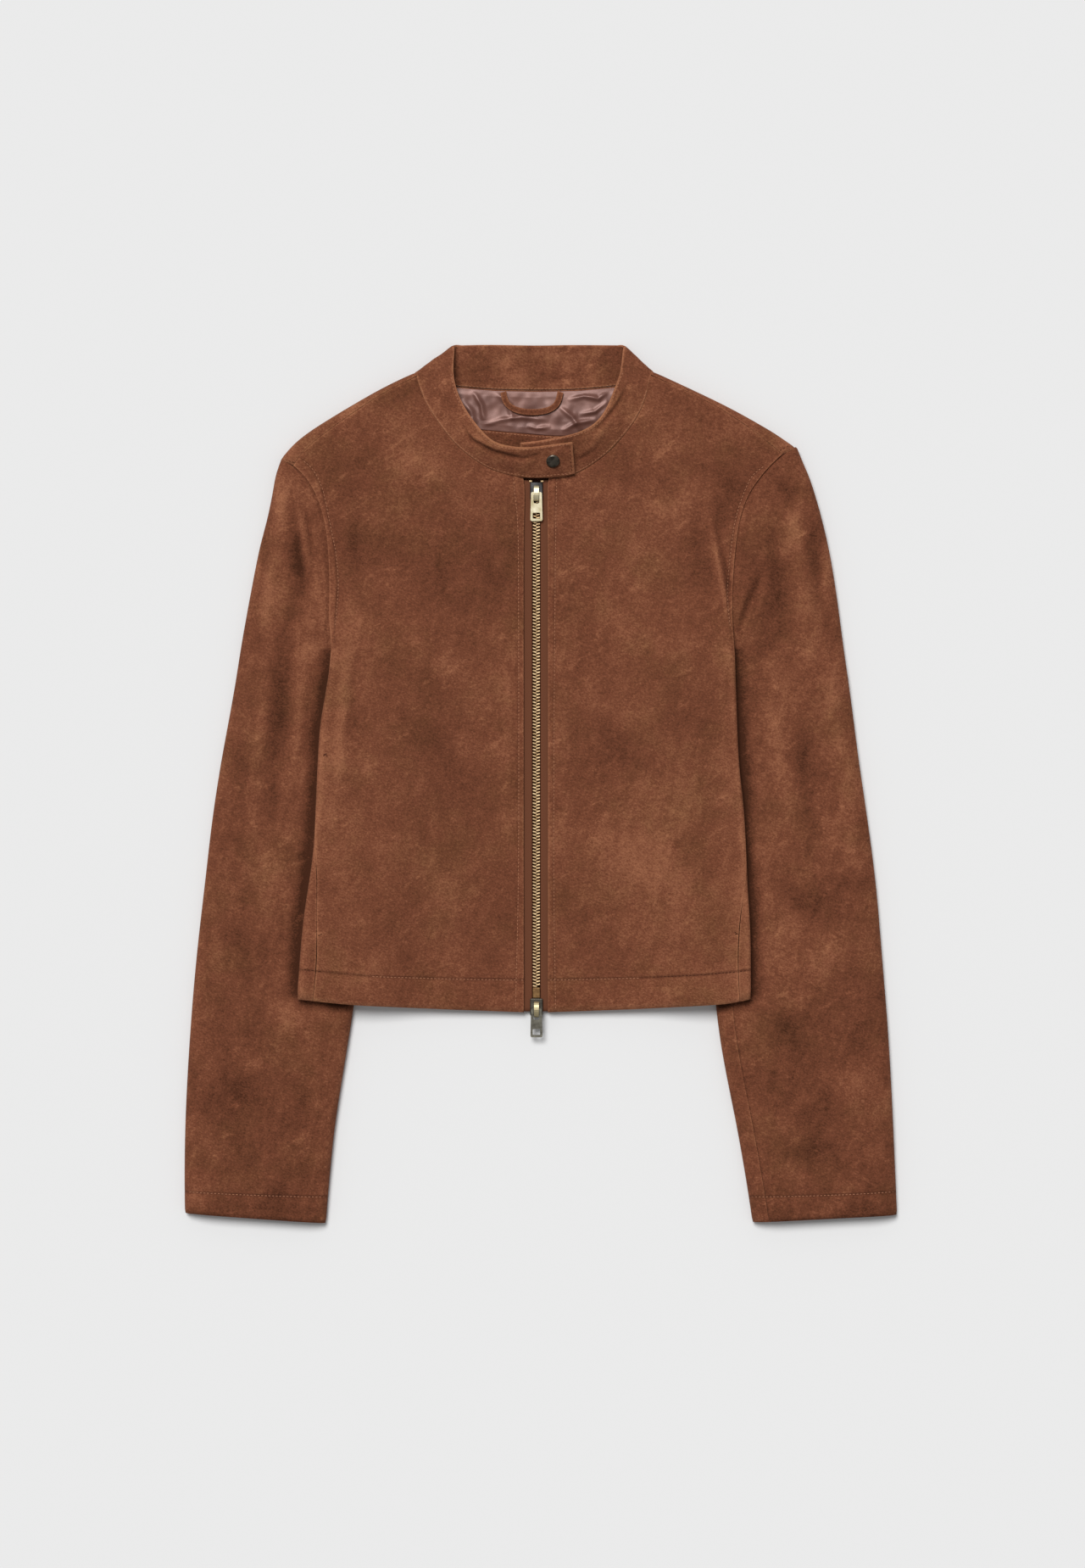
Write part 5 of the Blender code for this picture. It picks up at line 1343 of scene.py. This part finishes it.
tape_weave = make_tape()
for node, (left, right) in TAPES.items():
    tape_rows = [[Vector((x, y, body_top(ZIP_X, y) - TAPE_SINK)) for x in spread(left, right, 9)]
                 for y in spread(TAPE_BOTTOM, TAPE_TOP, 61)]
    tape = cloth(node, [tape_rows], False, None, wall=TAPE, material=tape_weave, slot_name="brown_zip_tape", levels=1)

# One tooth: a flat foot clamped to the tape, and a rounded head that reaches past the middle
bpy.ops.object.select_all(action="DESELECT")
bpy.ops.mesh.primitive_cube_add(size=1.0)
tooth = bpy.context.active_object
tooth.scale = (2.5 * MM, TOOTH_FACE * MM, 2.3 * MM)
tooth.location = (-TOOTH_FOOT * MM, 0, 0)
bpy.ops.object.transform_apply(location=True, rotation=False, scale=True)
bpy.ops.object.mode_set(mode="EDIT")
draw_out((1, 0, 0), 1.0 * MM, (1.0, 0.60, 0.80))
bpy.ops.object.mode_set(mode="OBJECT")
soft_edge = tooth.modifiers.new("soft edge", "BEVEL")
soft_edge.width = 0.42 * MM
soft_edge.segments = 2
apply_modifiers(tooth)
tooth_points, tooth_faces = take_shape()
tooth_points[:, 1] -= TOOTH_SLANT * (tooth_points[:, 0] + TOOTH_FOOT * MM)
chain_points = []
chain_faces = []
for index in range(TEETH):
    mirrored = index % 2 == 1
    y = FIRST_TOOTH_Y + index * TOOTH_PITCH / 2
    place = np.array((ZIP_X, y, body_top(ZIP_X, y) - CHAIN_SINK - CHAIN_DEPTH / 2)) * MM
    first = index * len(tooth_points)
    chain_points.append(tooth_points * np.array((-1 if mirrored else 1, 1, 1)) + place)
    chain_faces += [tuple(first + corner for corner in (reversed(face) if mirrored else face)) for face in tooth_faces]
chain = new_piece("zip_teeth", np.concatenate(chain_points).tolist(), chain_faces, metals["tooth_brass"])
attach(chain, "jacket")
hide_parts("zip_chain")


# The topstitching. Brown thread, a little paler than the suede, sewn with a stitch of about three
# millimetres through the laid pieces along the measured lines.
ABOVE_CLOTH = 0.08   # the height, in metres, from which the cloth is looked for


def make_thread(name, colour):
    """Twisted sewing thread."""
    add, ramp, finish = node_material(name)
    twist = add("TexNoise", {"Scale": 1800.0, "Detail": 2.0, 0: add("TexCoord", {}, "Object")})
    shades = ramp(twist, (0.3, [value * 0.8 for value in colour]), (0.7, colour))
    return finish({"Base Color": shades, "Roughness": 0.9, "Specular IOR Level": 0.1})


thread = make_thread("brown_thread", (176, 120, 90))
dark_thread = make_thread("dark_thread", (76, 40, 26))

# One stitch: a short length of thread whose ends dive into the suede
bpy.ops.object.select_all(action="DESELECT")
bpy.ops.mesh.primitive_cylinder_add(vertices=6, radius=0.5, depth=0.6, end_fill_type="NGON")
bpy.ops.object.mode_set(mode="EDIT")
for way in (1, -1):
    draw_out((0, 0, way), 0.2, (0.55, 0.55, 1.0))
bpy.ops.object.mode_set(mode="OBJECT")
stitch_points, stitch_faces = take_shape()

laid_trees = []
for piece in [*fronts.values(), back, *collar.values(), facing, lining, loop, *sleeve_pieces[-1], *sleeve_pieces[1]]:
    corners = [vert.co.copy() for vert in piece.data.vertices]
    laid_trees.append(BVHTree.FromPolygons(corners, [tuple(face.vertices) for face in piece.data.polygons]))


def on_cloth(x, y):
    """The top of the laid cloth at a point seen from above, with its normal, or nothing."""
    hits = [tree.ray_cast(Vector((x * MM, y * MM, ABOVE_CLOTH)), Vector((0, 0, -1)))[:2] for tree in laid_trees]
    return max((hit for hit in hits if hit[0] is not None), key=lambda hit: hit[0].z, default=None)


def walk(line, pitch):
    """Evenly spaced points along a line, with the direction there."""
    points = []
    left = pitch / 2
    for (x0, y0), (x1, y1) in zip(line, line[1:]):
        length = math.hypot(x1 - x0, y1 - y0)
        while left <= length:
            share = left / length
            points.append((x0 + (x1 - x0) * share, y0 + (y1 - y0) * share, (x1 - x0) / length, (y1 - y0) / length))
            left += pitch
        left -= length
    return points


def rounded_line(line, steps=6):
    """A smooth line through the measured points."""
    result = [line[0]]
    for index in range(len(line) - 1):
        a = line[max(index - 1, 0)]
        b, c = line[index], line[index + 1]
        d = line[min(index + 2, len(line) - 1)]
        for step in range(1, steps + 1):
            t = step / steps
            result.append(tuple(0.5 * (2 * b[k] + (c[k] - a[k]) * t + (2 * a[k] - 5 * b[k] + 4 * c[k] - d[k]) * t * t
                                       + (3 * b[k] - a[k] - 3 * c[k] + d[k]) * t ** 3) for k in (0, 1)))
    return result

def sew(name, lines, material, pitch=2.9, length=1.9, width=0.72, sink=0.12, highest=100.0):
    """Sews lines of stitches through the laid cloth and joins them in one mesh."""
    points = []
    faces = []
    for line in lines:
        for x, y, along_x, along_y in walk(rounded_line(line), pitch):
            start = on_cloth(x - along_x * length / 2, y - along_y * length / 2)
            end = on_cloth(x + along_x * length / 2, y + along_y * length / 2)
            if not start or not end or abs(start[0].z - end[0].z) > 2 * MM or start[0].z > highest * MM:
                continue
            up = (start[1] + end[1]).normalized()
            along = (end[0] - start[0]).normalized()
            across = up.cross(along).normalized()
            up = along.cross(across)
            centre = (start[0] + end[0]) / 2 - up * sink * MM
            first = len(points) * len(stitch_points)
            scaled = stitch_points * np.array((width * MM, width * 0.7 * MM, length * MM))
            points.append(scaled @ np.array((tuple(across), tuple(up), tuple(along))) + np.array(tuple(centre)))
            faces += [tuple(first + corner for corner in face) for face in stitch_faces]
    piece = new_piece(name, np.concatenate(points).tolist(), faces, material)
    piece.data.shade_smooth()
    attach(piece, "jacket")


def inside_band(stations, share, offset):
    """A line on the collar band: a share of the way up from the neck seam, and an offset from there."""
    line = []
    for row in stations:
        seam, free = Vector(row[0:2]), Vector(row[3:5])
        point = seam + (free - seam) * share + (free - seam).normalized() * offset
        line.append((point.x, point.y))
    return line


sew("stitches_fronts", [LEFT_PLACKET, RIGHT_PLACKET, LEFT_ARMHOLE, RIGHT_ARMHOLE,
                        [point for point in HEM_STITCH if -186 < point[0] < 100]], thread)
sew("stitches_hem_ends", [((89, -154.2), (129.9, -151.8), (166, -148.5)), ((-193, -147.2), (-176, -149.2)),
                          ((-208.4, 261.5), (-196.2, 257.6)), ((201, 273), (190, 267.2))], dark_thread)
sew("stitches_collar", [inside_band(LEFT_BAND, 0, 1.3), inside_band(RIGHT_BAND[:8], 0, 1.3),
                        inside_band(LEFT_BAND, 1, -1.6), inside_band(RIGHT_BAND[:9], 1, -1.6)], thread)
sew("stitches_tab_end", [((24.6, 250.2), (23.4, 260), (22.6, 271))], dark_thread)
sew("stitches_back_neck", [[(x, y + 1.1) for x, y in BACK_NECK]], thread)
sew("stitches_cuffs", [((-286, -326.4), (-230, -329), (-173, -330.6)),
                       ((168, -330.6), (230, -329), (285.5, -326.4))], thread)
sew("stitches_facing", [[(x, y - 1.2) for x, y in FACING_TOP]], thread, highest=5.5)
loop_middle = Vector((-7.5, 315.6))
sew("stitches_loop", [[tuple(loop_middle + (Vector(point) - loop_middle) * part) for point in LOOP_PATH]
                      for part in (1.08, 0.90)], thread, pitch=2.2, length=1.4, width=0.4)
sew("stitches_pockets", [((-174.6, 23), (-171, 25.4)), ((-174, 24.6), (-170.6, 22.6)),
                         ((-178.6, -120.8), (-175.4, -119.2)), ((154.5, -117.4), (158, -120)),
                         ((154.9, -119.8), (158.4, -117.8))], dark_thread, pitch=1.9, length=1.7, width=0.8)


# The floor, the light and the camera: the jacket lies on a plain pale floor under soft studio light,
# seen from straight above.
FLOOR_DROP = 0.0001  # the floor lies this far below the jacket
FLOOR_TONE = 0.8
SKY_STRENGTH = 0.32
SUN_STRENGTH = 2.60
SUN_FROM = (-0.26, 0.52, 1.0)
CAMERA_PLACE = (0.00102, 0.00068, 3.0)
LENS = 85.6
bpy.ops.object.select_all(action="DESELECT")
bpy.ops.mesh.primitive_plane_add(size=60.0, location=(0, 0, -FLOOR_DROP))
floor = bpy.context.active_object
floor.name = "floor"
add, ramp, finish = node_material("pale_floor")
floor.data.materials.append(finish({"Base Color": (FLOOR_TONE, FLOOR_TONE, FLOOR_TONE, 1.0), "Roughness": 0.9,
                                    "Specular IOR Level": 0.0}))

world = bpy.data.worlds.new("studio")
world.use_nodes = True
sky = world.node_tree.nodes["Background"].inputs
sky["Color"].default_value = (1.0, 1.0, 1.0, 1.0)
sky["Strength"].default_value = SKY_STRENGTH
bpy.context.scene.world = world
lamp = bpy.data.lights.new("soft_light", "SUN")
lamp.energy = SUN_STRENGTH
lamp.angle = math.radians(30)
lamp_object = bpy.data.objects.new("soft_light", lamp)
lamp_object.rotation_euler = Vector(SUN_FROM).to_track_quat("Z", "Y").to_euler()
bpy.context.scene.collection.objects.link(lamp_object)

camera_data = bpy.data.cameras.new("camera")
camera_data.lens = LENS
camera_data.sensor_width = 36.0
camera_data.clip_end = 50.0
camera = bpy.data.objects.new("camera", camera_data)
camera.location = CAMERA_PLACE
bpy.context.scene.collection.objects.link(camera)
bpy.context.scene.camera = camera
bpy.context.scene.view_settings.view_transform = "Standard"
bpy.context.scene.view_settings.look = "None"
